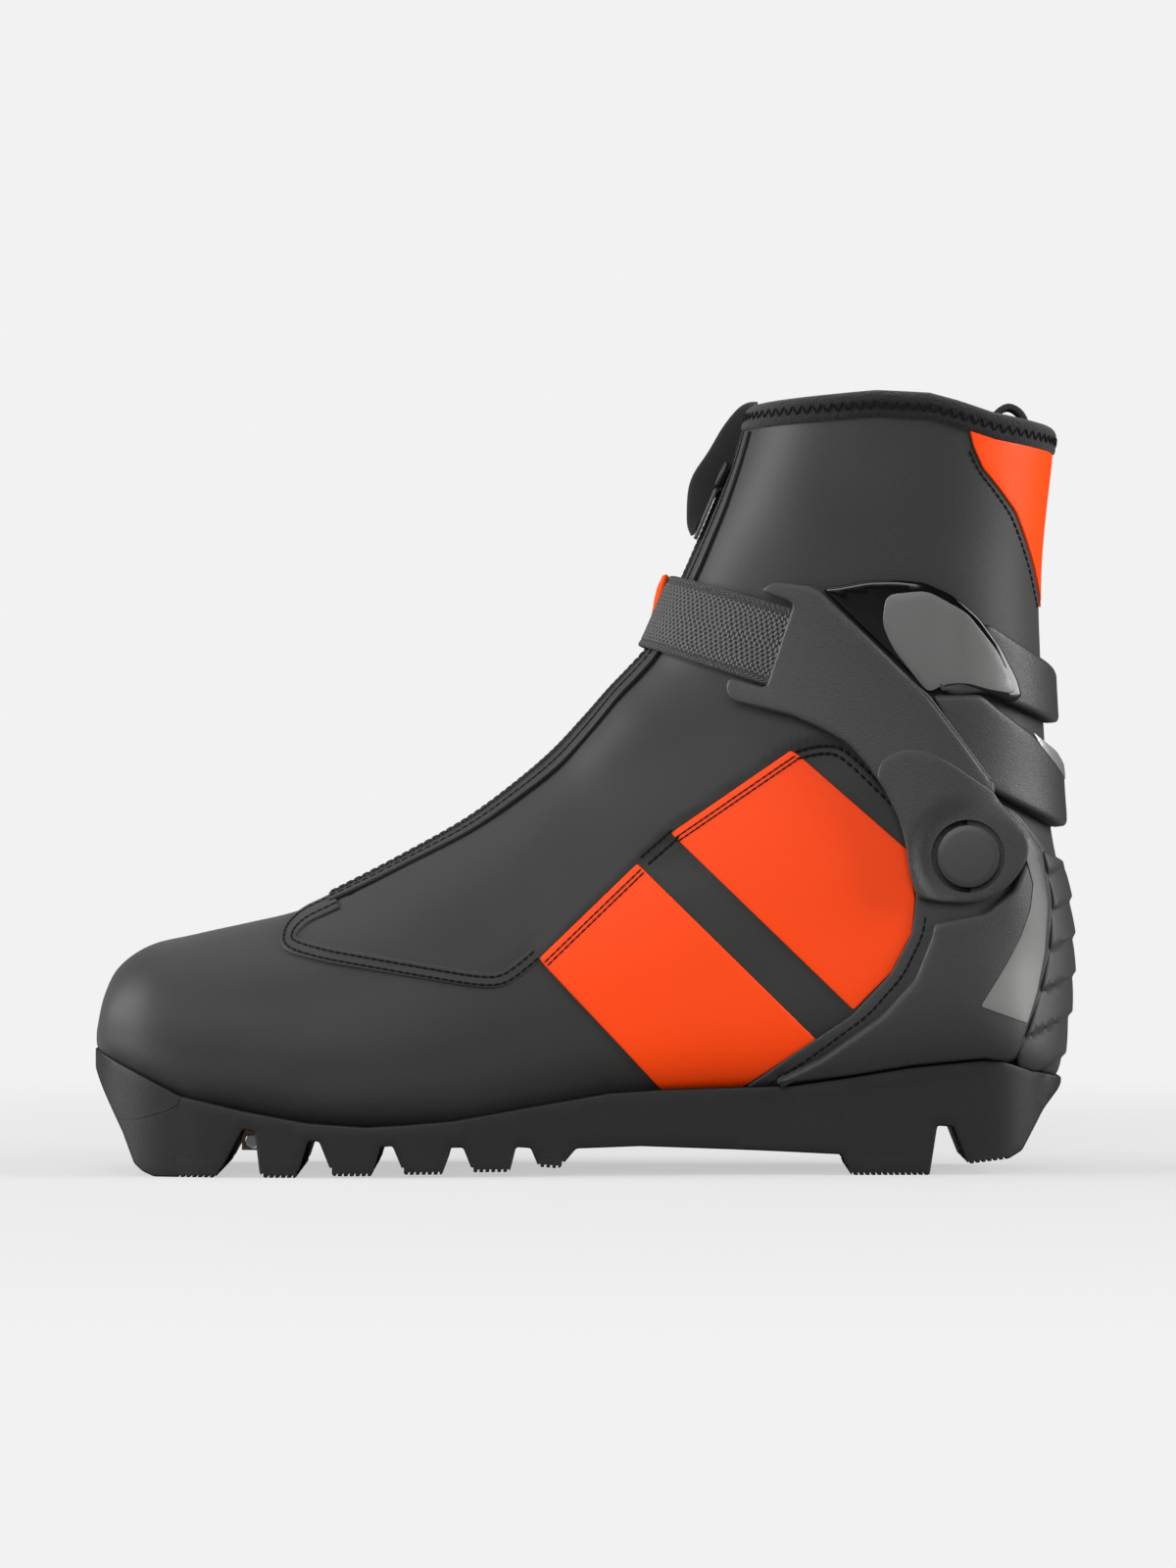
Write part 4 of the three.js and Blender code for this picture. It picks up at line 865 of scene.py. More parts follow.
def build_binding():
    """Knitted binding folded over the collar's edge."""
    tau = np.linspace(0, GIRTH, 241)
    low = sigma_where(collar_gap(BINDING_HEIGHT), tau, 0.8)
    high = sigma_where(collar_gap(0.0), tau, 0.8)
    outer_lift, inner_lift = 1.15, LINING_FACE - 0.2
    middle, reach = (outer_lift + inner_lift) / 2, (outer_lift - inner_lift) / 2
    round_part = reach / BINDING_HEIGHT
    profile = [(0.0, outer_lift - 0.75), (0.015, outer_lift - 0.25), (0.06, outer_lift)]
    profile += [(v, outer_lift + 0.16 * math.sin(v * 11)) for v in (0.15, 0.25, 0.35, 0.45, 0.52)]
    for turn in np.linspace(0, math.pi, 13):
        profile.append((1 - round_part + round_part * math.sin(turn), middle + reach * math.cos(turn)))
    profile += [(v, inner_lift) for v in (0.5, 0.35, 0.2, 0.06)] + [(0.0, inner_lift + 0.3)]
    profile += [(-0.01, middle)]
    rows = [skin(low + (high - low) * v, tau, np.full(len(tau), lift)) for v, lift in profile]
    return grid_piece("collar_binding_knit", np.array(rows + rows[:1]))


dressed(build_binding(), "binding", "collar_binding", body="cuff")


def ring_line(drop):
    """A line round the shaft, the given distance below the collar's edge."""
    tau = np.linspace(0, GIRTH, 400)
    return [np.stack([sigma_where(collar_gap(drop), tau, 0.8), tau], 1)]


dressed(stitches("binding_zigzag", ring_line(4.6), 3.3, -0.9, 0.5, 1.3, 1.7), "binding", look="seam_thread",
        body="cuff")

# ------------------------------------------------------------------ orange overlays and seams
PANEL_FRONT = [(-15.0, 66.0), (15.0, 94.8), (69.3, 41.4), (47.1, 27.2), (22.2, 26.4)]
PANEL_REAR = [(25.2, 104.1), (61.8, 129.3), (64.2, 127.8), (97.0, 99.0), (99.4, 84.0), (98.4, 73.8),
              (92.1, 61.8), (80.7, 50.4)]
PANEL_LIFT, PANEL_TOP = 0.12, 0.72
HEEL_TAB = [(143.5, 220.6), (131.4, 223.6), (115.8, 226.9), (117.3, 221.1), (120.0, 215.1), (125.1, 209.1),
            (130.5, 201.9), (133.8, 193.8), (136.5, 186.0), (138.3, 179.1), (139.6, 173.6)]

for side, word in ((INNER, "inner"), (OUTER, "outer")):
    for part, outline in (("front", PANEL_FRONT), ("rear", PANEL_REAR)):
        piece = patch(f"overlay_{part}_{word}", side_loop(outline, side, 0.8), PANEL_LIFT - 0.4, PANEL_TOP,
                      0.35, 2.4)
        dressed(piece, "orange_panel", f"quarter_panel_{part}_{word}", bends=True)
tab = patch("heel_tab_overlay", wrapped_loop(HEEL_TAB, 1.0), -0.2, 0.75, 0.35, 2.4)
dressed(tab, "orange_panel", "heel_tab", body="cuff")

vamp_line = dense(rounded(VAMP_SEAM, 3.0, False), 1.0)
for side, word in ((INNER, "inner"), (OUTER, "outer")):
    around = np.vstack([vamp_line, shifted(vamp_line, WELT_WIDTH)[::-1]])
    welt = patch(f"vamp_welt_{word}", locate(dense(around, 1.2, True), side), -0.5, WELT_TOP, 0.5, 1.6)
    dressed(welt, "softshell", bends=True)
lines = [locate(shifted(vamp_line, by), side) for by in (0.9, 3.3) for side in (INNER, OUTER)]
dressed(stitches("vamp_stitches", lines, 2.3, 1.1, 0.8, WELT_TOP + 0.05), "softshell", look="seam_thread",
        bends=True)
upper_rows = [shifted(dense(rounded([(62.5, 130.0), (69.3, 131.9), (76.5, 131.9), (81.9, 127.8), (95.0, 115.0)],
                                    3.0, False), 1.0), by) for by in (-1.2, -3.5)]
upper_rows += [dense(line, 1.0) for line in ([(16.0, 96.6), (25.6, 105.0)], [(18.2, 94.6), (27.6, 102.8)])]
lines = [locate(row, side) for row in upper_rows for side in (INNER, OUTER)]
dressed(stitches("upper_stitches", lines, 2.3, 1.1, 0.8, 0.75), "softshell", look="seam_thread", bends=True)
overlay_rows = [shifted(dense(line, 1.0), by) for by in (-1.9, -3.2)
                for line in ([(-14.6, 66.2), (14.8, 94.4)], [(25.6, 104.2), (61.8, 129.1)])]
lines = [locate(row, side) for row in overlay_rows for side in (INNER, OUTER)]
dressed(stitches("overlay_stitches", lines, 2.6, 0.7, 0.55, PANEL_TOP), "orange_panel", look="seam_thread",
        bends=True)
tab_row = shifted(rounded(HEEL_TAB[3:], 3, False), -1.6)
dressed(stitches("heel_tab_stitches", [locate(dense(tab_row, 1.0), s) for s in (INNER, OUTER)], 2.2, 0.9, 0.6,
                 0.15), "softshell", look="seam_thread", body="cuff")

# ------------------------------------------------------------------ sole
SOLE_UNDERSIDE = [
    (-151.1, 32.1), (-141.6, 13.2), (-138.0, 3.9), (-135.3, 1.5), (-131.7, 0.0), (-112.8, 0.0),
    (-111.3, 1.8), (-104.4, 14.7), (-100.8, 13.8), (-99.3, 1.2), (-98.1, 0.0), (-88.2, 0.0),
    (-84.6, 11.0), (-81.3, 11.0), (-77.1, 0.5), (-65.4, 0.5), (-62.7, 9.3), (-59.1, 9.6),
    (-55.5, 0.9), (-44.1, 0.9), (-41.7, 9.0), (-37.8, 9.0), (-34.8, 1.5), (-23.7, 1.5),
    (-21.8, 9.0), (-17.4, 8.7), (-15.0, 3.0), (-8.7, 2.4), (-3.6, 8.4), (15.9, 9.0),
    (52.5, 7.5), (77.1, 6.3), (80.1, 0.0), (104.1, 0.0), (106.4, 15.0), (111.3, 14.7),
    (115.8, 3.3), (128.4, 4.8), (132.6, 7.2), (139.2, 18.9), (145.6, 27.2)]
SOLE_EDGE = [
    (-151.1, 38.4), (-143.4, 34.5), (-133.5, 29.7), (-123.6, 24.6), (-104.1, 20.1), (-84.6, 16.5),
    (-67.2, 15.3), (-55.5, 15.9), (-40.8, 17.1), (-16.5, 21.3), (6.6, 25.2), (22.2, 26.1),
    (61.8, 27.3), (80.1, 30.0), (98.4, 33.0), (120.6, 35.1), (127.5, 34.2), (135.9, 31.5),
    (145.6, 29.2)]
BUMPER_LINE = [(-152.0, 17.0), (-137.1, 17.4), (-127.8, 20.1), (-124.5, 21.9), (-122.8, 25.4)]
LUGS = [("toe", "tread_toe", -125.0, -106.0), ("ball_1", "tread_ball_1", -101.5, -83.0),
        ("ball_2", "tread_ball_2", -83.0, -61.0), ("ball_3", "tread_ball_3", -61.0, -40.0),
        ("ball_4", "tread_ball_4", -40.0, -19.5), ("ball_5", "tread_ball_5", -19.5, -3.0),
        ("heel_front", "tread_heel_front", 77.0, 108.0), ("heel_rear", "tread_heel_rear", 112.0, 132.0)]
TREAD_TOP = 6.0
SOLE_WALL = 1.4


def sole_plan():
    """Half width of the sole on each side of the middle, from toe to heel."""
    edge_x, edge_z = np.array(SOLE_EDGE).T
    xs = np.r_[np.arange(-149.5, -120, 1.5), np.arange(-118, 120, 4.0), np.arange(121, 142, 1.5)]
    places = np.stack([xs, np.interp(xs, edge_x, edge_z) + 3], 1)
    sides = []
    for side in (OUTER, INNER):
        track = locate(places, side)
        width = side * skin(track[:, 0], track[:, 1])[:, 1] + SOLE_WALL
        toe = 6.0 if side == OUTER else 15.5
        sides.append((np.r_[-151.1, xs, 144.2, 145.6], np.r_[toe, width, 15.5, 9.0]))
    return sides


PLAN = dict(zip((OUTER, INNER), sole_plan()))


def sole_slab(name, outline, edge=0.7, step=3.0, draft=0.05, radius=0.8):
    """A slice of the sole: a side-view outline between the sole's two side walls, rims rounded."""
    loop = dense(rounded(outline, radius), 1.2, True)
    area = (loop[:, 0] * np.roll(loop[:, 1], -1) - np.roll(loop[:, 0], -1) * loop[:, 1]).sum()
    loop = loop if area > 0 else loop[::-1]
    d = np.roll(loop, -1, 0) - np.roll(loop, 1, 0)
    inward = np.stack([-d[:, 1], d[:, 0]], 1)
    inward /= np.maximum(np.linalg.norm(inward, axis=1, keepdims=True), 1e-9)
    inset = loop + inward * edge
    lo, hi = inset.min(0), inset.max(0)
    a, b = np.meshgrid(np.arange(lo[0], hi[0], step), np.arange(lo[1], hi[1], step))
    inner = np.stack([a.ravel(), b.ravel()], 1)
    inner = inner[within(inner, inset)]
    if len(inner):
        inner = inner[distance(inner, np.vstack([inset, inset[:1]])) > step * 0.4]
    count = len(loop)
    made, _, faces, origins, _, _ = delaunay_2d_cdt(
        [Vector(p) for p in np.vstack([inset, inner])], [], [list(range(count))], 1, 1e-5)
    made = np.array([(v.x, v.y) for v in made])
    place = {o: k for k, os in enumerate(origins) for o in os}
    ring = [place[k] for k in range(count)]

    def wall(points, side, back=0.0):
        width = np.interp(points[:, 0], *PLAN[side])
        rise = np.interp(points[:, 0], *np.array(SOLE_EDGE).T) - points[:, 1]
        width = np.maximum(width - draft * np.maximum(rise, 0) - back, 0.5)
        return np.stack([points[:, 0], side * width, points[:, 1]], 1)
    points, start, all_faces, rings = [], 0, [], []
    for side in (OUTER, INNER):
        points.append(wall(made, side))
        base = start
        all_faces += [tuple(base + k for k in (f if side == INNER else reversed(f))) for f in faces]
        start += len(made)
        rings.append([[base + k for k in ring]])
        for f in (0.25, 0.5, 0.75, 1.0):
            turn = f * math.pi / 2
            points.append(wall(inset + (loop - inset) * math.sin(turn), side, edge * (1 - math.cos(turn))))
            rings[-1].append(list(range(start, start + count)))
            start += count
    order = rings[0] + rings[1][::-1]
    for one, two in zip(order, order[1:]):
        all_faces += [(one[i], one[(i + 1) % count], two[(i + 1) % count], two[i]) for i in range(count)]
    return mesh_piece(name, np.vstack(points), all_faces)


def form_block(lift):
    """The boot's form as one closed block, to hollow other pieces with."""
    tau = np.linspace(0, GIRTH, 121)
    sigma = np.linspace(0, SIGMA[-1] * 0.75, 100)
    net = skin(sigma[:, None] + 0 * tau[None], tau[None] + 0 * sigma[:, None], np.full((100, 121), float(lift)))
    return grid_piece("form_block", np.vstack([np.broadcast_to(net[0].mean(0), net[:1].shape), net,
                                               np.broadcast_to(net[-1].mean(0), net[:1].shape)]))


def prism_piece(outline, low=-60, high=60):
    """A side-view outline carried across the boot: a flat face, extruded."""
    shape = bmesh.new()
    face = shape.faces.new([shape.verts.new((x * MM, low * MM, z * MM)) for x, z in outline])
    out = bmesh.ops.extrude_face_region(shape, geom=[face])
    moved = [v for v in out["geom"] if isinstance(v, bmesh.types.BMVert)]
    bmesh.ops.translate(shape, verts=moved, vec=(0, (high - low) * MM, 0))
    bmesh.ops.recalc_face_normals(shape, faces=shape.faces)
    mesh = bpy.data.meshes.new("prism")
    shape.to_mesh(mesh)
    shape.free()
    piece = bpy.data.objects.new("prism", mesh)
    bpy.context.scene.collection.objects.link(piece)
    return piece


def copied(piece, name):
    """A second object with its own copy of the mesh."""
    twin = piece.copy()
    twin.data = piece.data.copy()
    twin.name = twin.data.name = name
    bpy.context.scene.collection.objects.link(twin)
    return twin


# ------------------------------------------------------------------ treads and bumper
SERRATION = 1.8                           # pitch of the fine ribs under each lug
SLOT_HALF, SLOT_DEPTH = 0.38, 0.85        # slot between two ribs
SLOT_BELOW = 5.4                          # ribs only where the underside is lower than this
GROOVE_MIDDLES, GROOVE_HALF, GROOVE_TOP = (-12.5, 12.5), 3.5, 4.2
GROOVE_SPANS = ((-99, -2), (76, 140))     # lengthwise grooves under the ball and the heel
TOE_SLOT = ((-141.7, -14, -5), (-125.3, 14, 12))
BUMPER_GAP = 0.12
whole_sole = sole_slab("whole_sole", SOLE_UNDERSIDE + SOLE_EDGE[::-1])
cut(whole_sole, form_block(0.15), *[box_piece((x0, y - GROOVE_HALF, -2), (x1, y + GROOVE_HALF, GROOVE_TOP))
                                    for y in GROOVE_MIDDLES for x0, x1 in GROOVE_SPANS])
body = copied(whole_sole, "outsole_body")
bumper_outline = BUMPER_LINE + [(-122.8, 60.0), (-160.0, 60.0), (-160.0, 17.0)]
cut(body, prism_piece([(x + BUMPER_GAP, z - BUMPER_GAP) for x, z in bumper_outline]), box_piece(*TOE_SLOT))
under_x, under_z = np.array(SOLE_UNDERSIDE).T
for word, node, front, rear in LUGS:
    cut(body, box_piece((front - 0.05, -60, -3), (rear + 0.05, 60, TREAD_TOP + 0.05)))
    lug = cut(copied(whole_sole, f"lug_{word}"), box_piece((front, -60, -3), (rear, 60, TREAD_TOP)),
              operation="INTERSECT")
    span = [x for x in np.arange(front, rear, 0.25) if np.interp(x, under_x, under_z) < SLOT_BELOW]
    combs = []
    for x in np.arange(span[0] + 1.2, span[-1] - 0.8, SERRATION):
        ground = float(np.interp(x, under_x, under_z))
        combs.append(box_piece((x - SLOT_HALF, -60, -3), (x + SLOT_HALF, 60, ground + SLOT_DEPTH)))
    if combs:
        cut(lug, joined("comb", combs))
    dressed(lug, "tread_rubber", node, body="boot")
dressed(body, "sole", "outsole", body="boot")
bumper = cut(copied(whole_sole, "toe_bumper_rubber"), prism_piece(bumper_outline), operation="INTERSECT")
dressed(bumper, "tread_rubber", "toe_bumper", body="boot")
bpy.data.objects.remove(whole_sole)

# ------------------------------------------------------------------ heel counter and its rubber wrap
COUNTER_FRONT = [(48.0, 27.6), (61.8, 36.9), (80.1, 48.9), (92.1, 61.8), (98.4, 73.8), (99.6, 84.0)]
COUNTER_REAR = [(122.1, 114.9), (129.6, 110.4), (135.3, 103.5), (138.9, 99.0), (141.6, 85.5),
                (141.9, 82.5), (140.7, 67.2), (137.7, 54.9), (134.1, 45.0), (130.5, 36.6)]
COUNTER_FOOT = [(127.5, 34.8), (120.6, 35.8), (98.4, 33.7), (80.1, 30.7), (61.8, 28.1)]
WALL_FRONT = [(57.0, 28.0), (71.1, 35.6), (89.4, 48.9), (99.3, 60.0), (104.4, 72.9), (105.2, 77.0)]
POCKET = [(121.0, 80.0), (129.4, 86.6), (133.6, 96.9), (130.4, 103.4)]
STRIPE = [(129.6, 101.7), (133.2, 96.3), (135.6, 88.5), (134.6, 81.0), (131.4, 72.6), (126.9, 64.2),
          (119.1, 51.6), (133.6, 46.2), (137.0, 55.6), (139.6, 67.4), (140.7, 82.5), (140.4, 85.3),
          (137.8, 98.2), (134.5, 102.6)]


def ear_lift(x, z):
    """The counter stands at 5 mm, but only 1.4 mm off the moving shaft at its ear's root."""
    return 0.3 + 1.1 * step_up(z, 97, 100)


def wall_top(x, z):
    """The thick part of the counter thins towards the ribbed wrap."""
    return 5.0 - 1.6 * step_up(x, 126, 143)


for side, word in ((INNER, "inner"), (OUTER, "outer")):
    base = patch(f"counter_{word}",
                 side_loop(COUNTER_FRONT + [(99.8, 108.0)] + COUNTER_REAR + COUNTER_FOOT, side, 1.5),
                 ear_lift, 1.8, 0.4, 2.4)
    wall = patch("wall", side_loop(WALL_FRONT + POCKET + COUNTER_REAR + COUNTER_FOOT[:-1], side, 1.6, 1.2, 4.0),
                 ear_lift, wall_top, 1.1, 1.6)
    base = joined(f"counter_{word}", [base, wall])
    dressed(base, "counter_plastic", *(["heel_counter"] if side == INNER else []), body="boot")
    mark = patch(f"stripe_{word}", side_loop(STRIPE, side, 0.8, 1.2, 4.6), lambda x, z: wall_top(x, z) - 0.1,
                 lambda x, z: wall_top(x, z) + 0.22, 0.12, 1.6)
    dressed(mark, "stripe", f"counter_stripe_{word}", body="boot")
lines = both_sides([(53.0, 28.0), (66.8, 36.0), (84.9, 48.9), (95.6, 60.9), (101.6, 73.3), (102.4, 79.0)])
dressed(stitches("counter_stitches", lines, 2.4, 1.0, 0.8, 1.8), "counter_plastic", look="seam_thread", body="boot")

RIB_PITCH, RIB_SLANT, RIB_FOOT = 11.6, 0.45, 49.1


def ribs(x, z):
    """Overlapping scales: each stands proud at its foot and thins upwards to the next."""
    phase = ((z - RIB_SLANT * (x - 149) - RIB_FOOT) / RIB_PITCH) % 1.0
    return 1.75 + 1.35 * (1 - phase) ** 0.8 * step_up(phase, 0.0, 0.14)


wrap_line = [(146.0, 95.6), (143.9, 96.9), (139.4, 99.0)] + [(x + 0.7, z) for x, z in COUNTER_REAR[4:]] \
    + [(131.2, 32.6), (144.6, 28.9)]
wrap = patch("heel_wrap_ribs", wrapped_loop(wrap_line, 1.2, 1.2, 2.6), 0.35, ribs, 0.7, 1.0)
dressed(wrap, "wrap_rubber", "heel_wrap", body="boot")

# ------------------------------------------------------------------ cuff
HEAD_Y = 40.5                             # flat outside of the cuff at the hinge
ARM_PLATE = [(56.4, 179.4), (59.4, 180.3), (70.2, 179.1), (84.9, 164.4), (103.4, 145.8), (112.5, 132.9),
             (122.4, 117.6), (119.0, 113.0), (97.0, 112.0), (92.6, 112.8), (89.7, 117.6), (84.3, 125.4),
             (78.9, 131.4), (72.0, 135.3), (62.7, 139.5),
             (45.3, 143.7), (43.8, 145.8), (43.5, 148.5), (44.4, 150.8), (55.0, 147.8), (64.0, 174.0),
             (54.6, 177.2)]
BOSS = [(87.6, 121.0), (87.9, 123.8), (89.7, 127.5), (95.7, 130.2), (101.1, 129.9), (108.6, 126.0),
        (120.9, 116.6), (121.8, 114.6), (125.4, 109.2), (127.6, 105.0), (128.7, 100.5), (128.6, 96.0),
        (127.0, 91.4), (124.2, 87.3), (120.5, 84.2), (116.5, 83.0), (112.5, 82.8), (107.0, 83.2),
        (102.6, 83.9), (99.6, 84.8), (98.4, 88.5), (97.2, 93.3), (96.3, 100.8), (94.2, 108.6), (89.7, 117.6)]
TIE = [(96.0, 152.6), (103.4, 146.2), (112.0, 133.4), (121.0, 119.6), (112.0, 119.2), (88.0, 149.0)]
UPPER_BAND = [(140.6, 152.4), (138.6, 155.4), (119.4, 168.3), (112.2, 150.4), (105.0, 149.2), (110.0, 146.0),
              (119.1, 147.0), (138.0, 138.6), (141.2, 137.6)]
LOWER_BAND = [(142.3, 121.6), (138.2, 128.6), (135.6, 130.9), (132.3, 134.6), (122.4, 142.4), (118.0, 146.4),
              (104.0, 146.4), (116.0, 120.0), (122.4, 116.1), (141.0, 105.8), (143.2, 105.4)]
REFLECTOR = [(142.0, 123.0), (138.4, 129.0), (132.0, 134.9), (134.0, 130.8), (142.2, 119.6)]
WINDOW = [(71.2, 179.0), (75.9, 179.2), (84.9, 180.9), (92.7, 181.2), (101.7, 180.3), (109.5, 176.7),
          (117.0, 169.8), (123.3, 160.5), (127.8, 151.2), (129.3, 145.2), (126.6, 143.6), (119.4, 147.0),
          (111.0, 149.8), (106.4, 149.6), (101.6, 149.2), (85.4, 164.9)]
# outline of the raised panel inside the window that carries the painted reflection
WINDOW_REFLECTION_PANEL = [(90.5, 176.7), (102.5, 177.8), (113.4, 171.2), (122.1, 159.2), (127.6, 146.1), (119.4, 147.8),
                (113.4, 150.0), (106.9, 149.4), (103.1, 146.7), (92.7, 160.3), (89.4, 167.9)]


def ridge(x, z):
    """Rim of the arm: a narrow round edge, wider as a facet down its rear side."""
    along = distance(np.stack([x, z], 1), np.array([(70.8, 178.5), (84.9, 164.9), (103.4, 146.3), (122.4, 118.0)]))
    return 0.8 + (0.6 + 1.0 * step_up(-z, -175, -120)) * (1 - step_up(along, 0.5, 2.5))


def boss_top(side):
    def lift(x, z):
        track = locate(np.stack([x, z], 1), side)
        reach = np.abs(skin(track[:, 0], track[:, 1])[:, 1])
        near = 1 - step_up(np.hypot(x - PIVOT[0], z - PIVOT[1]), 13.0, 19.0)
        return 6.8 * (1 - near) + (HEAD_Y - reach) * near
    return lift


def disc_piece(radius, low, high, sides=72):
    bpy.ops.object.select_all(action="DESELECT")
    bpy.ops.mesh.primitive_cylinder_add(vertices=sides, radius=radius * MM, depth=(high - low) * MM,
                                        location=(PIVOT[0] * MM, (low + high) / 2 * MM, PIVOT[1] * MM),
                                        rotation=(math.pi / 2, 0, 0))
    piece = bpy.context.object
    bpy.ops.object.transform_apply(location=True, rotation=True, scale=True)
    return piece


cuff = patch("cuff_moulding", wrapped_loop(UPPER_BAND, 2.0), 1.6, 4.8, 1.3, 2.0)
cut(cuff,
    patch("band", wrapped_loop(LOWER_BAND, 2.0), 1.6, lambda x, z: 5.0 + 0.5 * step_up(x, 130, 141), 1.4, 2.0),
    operation="UNION")
for side in (INNER, OUTER):
    cut(cuff, patch("tie", side_loop(TIE, side, 1.0), 1.65, 6.1, 0.6, 2.0), operation="UNION")
    cut(cuff, patch("arm", side_loop(ARM_PLATE, side, 1.8), 3.8, 6.35, ridge, 1.8), operation="UNION")
    cut(cuff, patch("boss", side_loop(BOSS, side, 2.2), 3.75, boss_top(side), 0.9, 1.6), operation="UNION")
    seat = sorted((side * (HEAD_Y - 2.6), side * 60))
    cut(cuff, disc_piece(11.1, *seat))
dressed(cuff, "cuff_plastic", "cuff_shell", body="cuff")


def turned_cap(name, side):
    """Round button over the hinge pin, its rim rounded and its face a little domed."""
    profile = [(0.0, -2.5), (9.2, -2.5), (9.5, -2.2), (9.5, 0.45), (9.35, 0.8), (8.8, 1.0),
               (7.5, 1.08), (5.0, 1.15), (2.5, 1.2), (0.0, 1.2)]
    turn = np.linspace(0, 2 * math.pi, 73)
    rows = [np.stack([PIVOT[0] + r * np.cos(turn), np.full(73, side * (HEAD_Y + y)),
                      PIVOT[1] + r * np.sin(turn)], 1)
            for r, y in profile]
    return grid_piece(name, np.array(rows))


for side, word in ((INNER, "inner"), (OUTER, "outer")):
    dressed(turned_cap(f"hinge_button_{word}", side), "cap_plastic", f"pivot_cap_{word}", body="cuff")
    glass = patch(f"window_{word}", side_loop(WINDOW, side, 2.0), 1.7,
                  lambda x, z: 4.3 + 0.9 * step_up(x, 104, 114), 1.0, 2.0)
    dressed(glass, "gloss_window", f"gloss_window_{word}", body="cuff")
    # raised panel inside the window, coloured light grey as a painted reflection of the softbox on the black gloss
    reflection_inlay = patch(f"window_reflection_panel_{word}", side_loop(WINDOW_REFLECTION_PANEL, side, 3.0), 3.9,
                  lambda x, z: 4.6 + 0.9 * step_up(x, 104, 114), 0.3, 2.0)
    dressed(reflection_inlay, "gloss_window", look="window_painted_reflection", body="cuff")
strip = patch("reflector_strip", wrapped_loop(REFLECTOR, 0.8), 4.9, lambda x,
              z: 5.3 + 0.5 * step_up(x, 130, 141), 0.15, 1.6)
dressed(strip, "reflector", "cuff_reflector", body="cuff")

# ------------------------------------------------------------------ instep strap
STRAP_END_LOW, STRAP_END_HIGH = np.array([52.5, 149.4]), np.array([62.4, 172.5])
STRAP_TOE_LOW, STRAP_TOE_HIGH = np.array([15.0, 161.8]), np.array([23.0, 184.4])
STRAP_UP = (STRAP_END_HIGH - STRAP_END_LOW) / np.linalg.norm(STRAP_END_HIGH - STRAP_END_LOW)
STRAP_WIDTH = 25.0


def strap_lift(x, z):
    level = (x - STRAP_TOE_LOW[0]) * STRAP_UP[0] + (z - STRAP_TOE_LOW[1]) * STRAP_UP[1]
    free = np.clip(2.6 + 0.17 * level, 2.2, 8.0)
    return free + (1.9 - free) * step_up(x, 14, 40)


def strap_line(across, extra, behind):
    """The path round the instep at one place across the strap, from the inner end to the outer."""
    share = across / STRAP_WIDTH
    end = STRAP_END_LOW + (STRAP_END_HIGH - STRAP_END_LOW) * share
    toe = STRAP_TOE_LOW + (STRAP_TOE_HIGH - STRAP_TOE_LOW) * share
    run = (end - toe) / np.linalg.norm(end - toe)
    normal = np.array([-run[1], run[0]])
    tau = GIRTH * np.linspace(-0.30, 0.30, 121)
    sigma = np.linspace(SIGMA[-1] * 0.45, SIGMA[-1] * 0.97, 260)
    s, t = sigma[:, None] + 0 * tau[None], tau[None] + 0 * sigma[:, None]
    under = skin(s, t)
    p = skin(s, t, strap_lift(under[..., 0], under[..., 2]) + extra)
    off = (p[..., 0] - toe[0]) * normal[0] + (p[..., 2] - toe[1]) * normal[1]
    k = np.clip(np.argmax(off > 0, 0), 1, len(sigma) - 1)
    j = np.arange(len(tau))
    f = np.clip(-off[k - 1, j] / (off[k, j] - off[k - 1, j] + 1e-12), 0, 1)[:, None]
    line = p[k - 1, j] * (1 - f) + p[k, j] * f
    reach = (line[:, 0] - end[0]) * run[0] + (line[:, 2] - end[1]) * run[1]
    return line[reach < behind]


def strap_net(profile, keep, count):
    rows = []
    for across, extra in profile:
        line = keep(strap_line(across, extra, 12.0), across)
        rows.append(even(line, 1e9 if len(line) < 2 else
                         np.linalg.norm(np.diff(line, axis=0), axis=1).sum() / (count - 1))[:count])
    net = np.array(rows)
    ends = [np.broadcast_to(net[:, k].mean(0), (len(net), 1, 3)) for k in (0, -1)]
    return np.concatenate([ends[0], net, ends[1]], 1)


def strap_profile(low, high, base):
    """Cross-section of flat webbing: rounded selvedges, a shallow line inside each."""
    top = [(low, base + 0.8), (low + 0.15, base + 1.25), (low + 0.6, base + 1.6), (low + 1.6, base + 1.62),
           (low + 2.1, base + 1.42), (low + 2.6, base + 1.6)]
    mid = [(v, base + 1.6) for v in np.linspace(low + 5, high - 5, 6)]
    end = [(low + high - v, e) for v, e in top[::-1]]
    under = [(v, base) for v in np.linspace(high - 0.4, low + 0.4, 5)]
    return top + mid + end + under + top[:1]


def all_of_it(line, across):
    return line


strap = grid_piece("instep_webbing", strap_net(strap_profile(0.2, 24.8, 0.0), all_of_it, 150), (0.17, 0.055))
dressed(strap, "webbing", "instep_strap", body="cuff")


def tail_keep(first, last):
    """Keeps the part of a path between two y values that slant across the strap."""
    def keep(line, across):
        end = 15.0 - 23.0 * (across / STRAP_WIDTH) ** 3
        a, b = end + first, end + last if last < 90 else 1e3
        run = even(line, 0.25)
        stop = (run[:, 0] < 59.4 - (24.8 - across) * 0.39) | (run[:, 1] < 20)
        return run[(run[:, 1] >= a) & (run[:, 1] <= b) & stop]
    return keep


tail = grid_piece("strap_tail_webbing", strap_net(strap_profile(0.5, 24.5, 1.9), tail_keep(9.2, 99), 110),
                  (0.10, 0.055))
dressed(tail, "webbing", "strap_tail", body="strap_end")
tip = grid_piece("strap_tip_rubber", strap_net(strap_profile(0.4, 24.6, 1.95), tail_keep(0, 9), 16), (0.01, 0.055))
dressed(tip, "orange_tip", "strap_tip", body="strap_end")

# ------------------------------------------------------------------ zip, flap, pull loop, tongue
ZIP_Y = -5.0


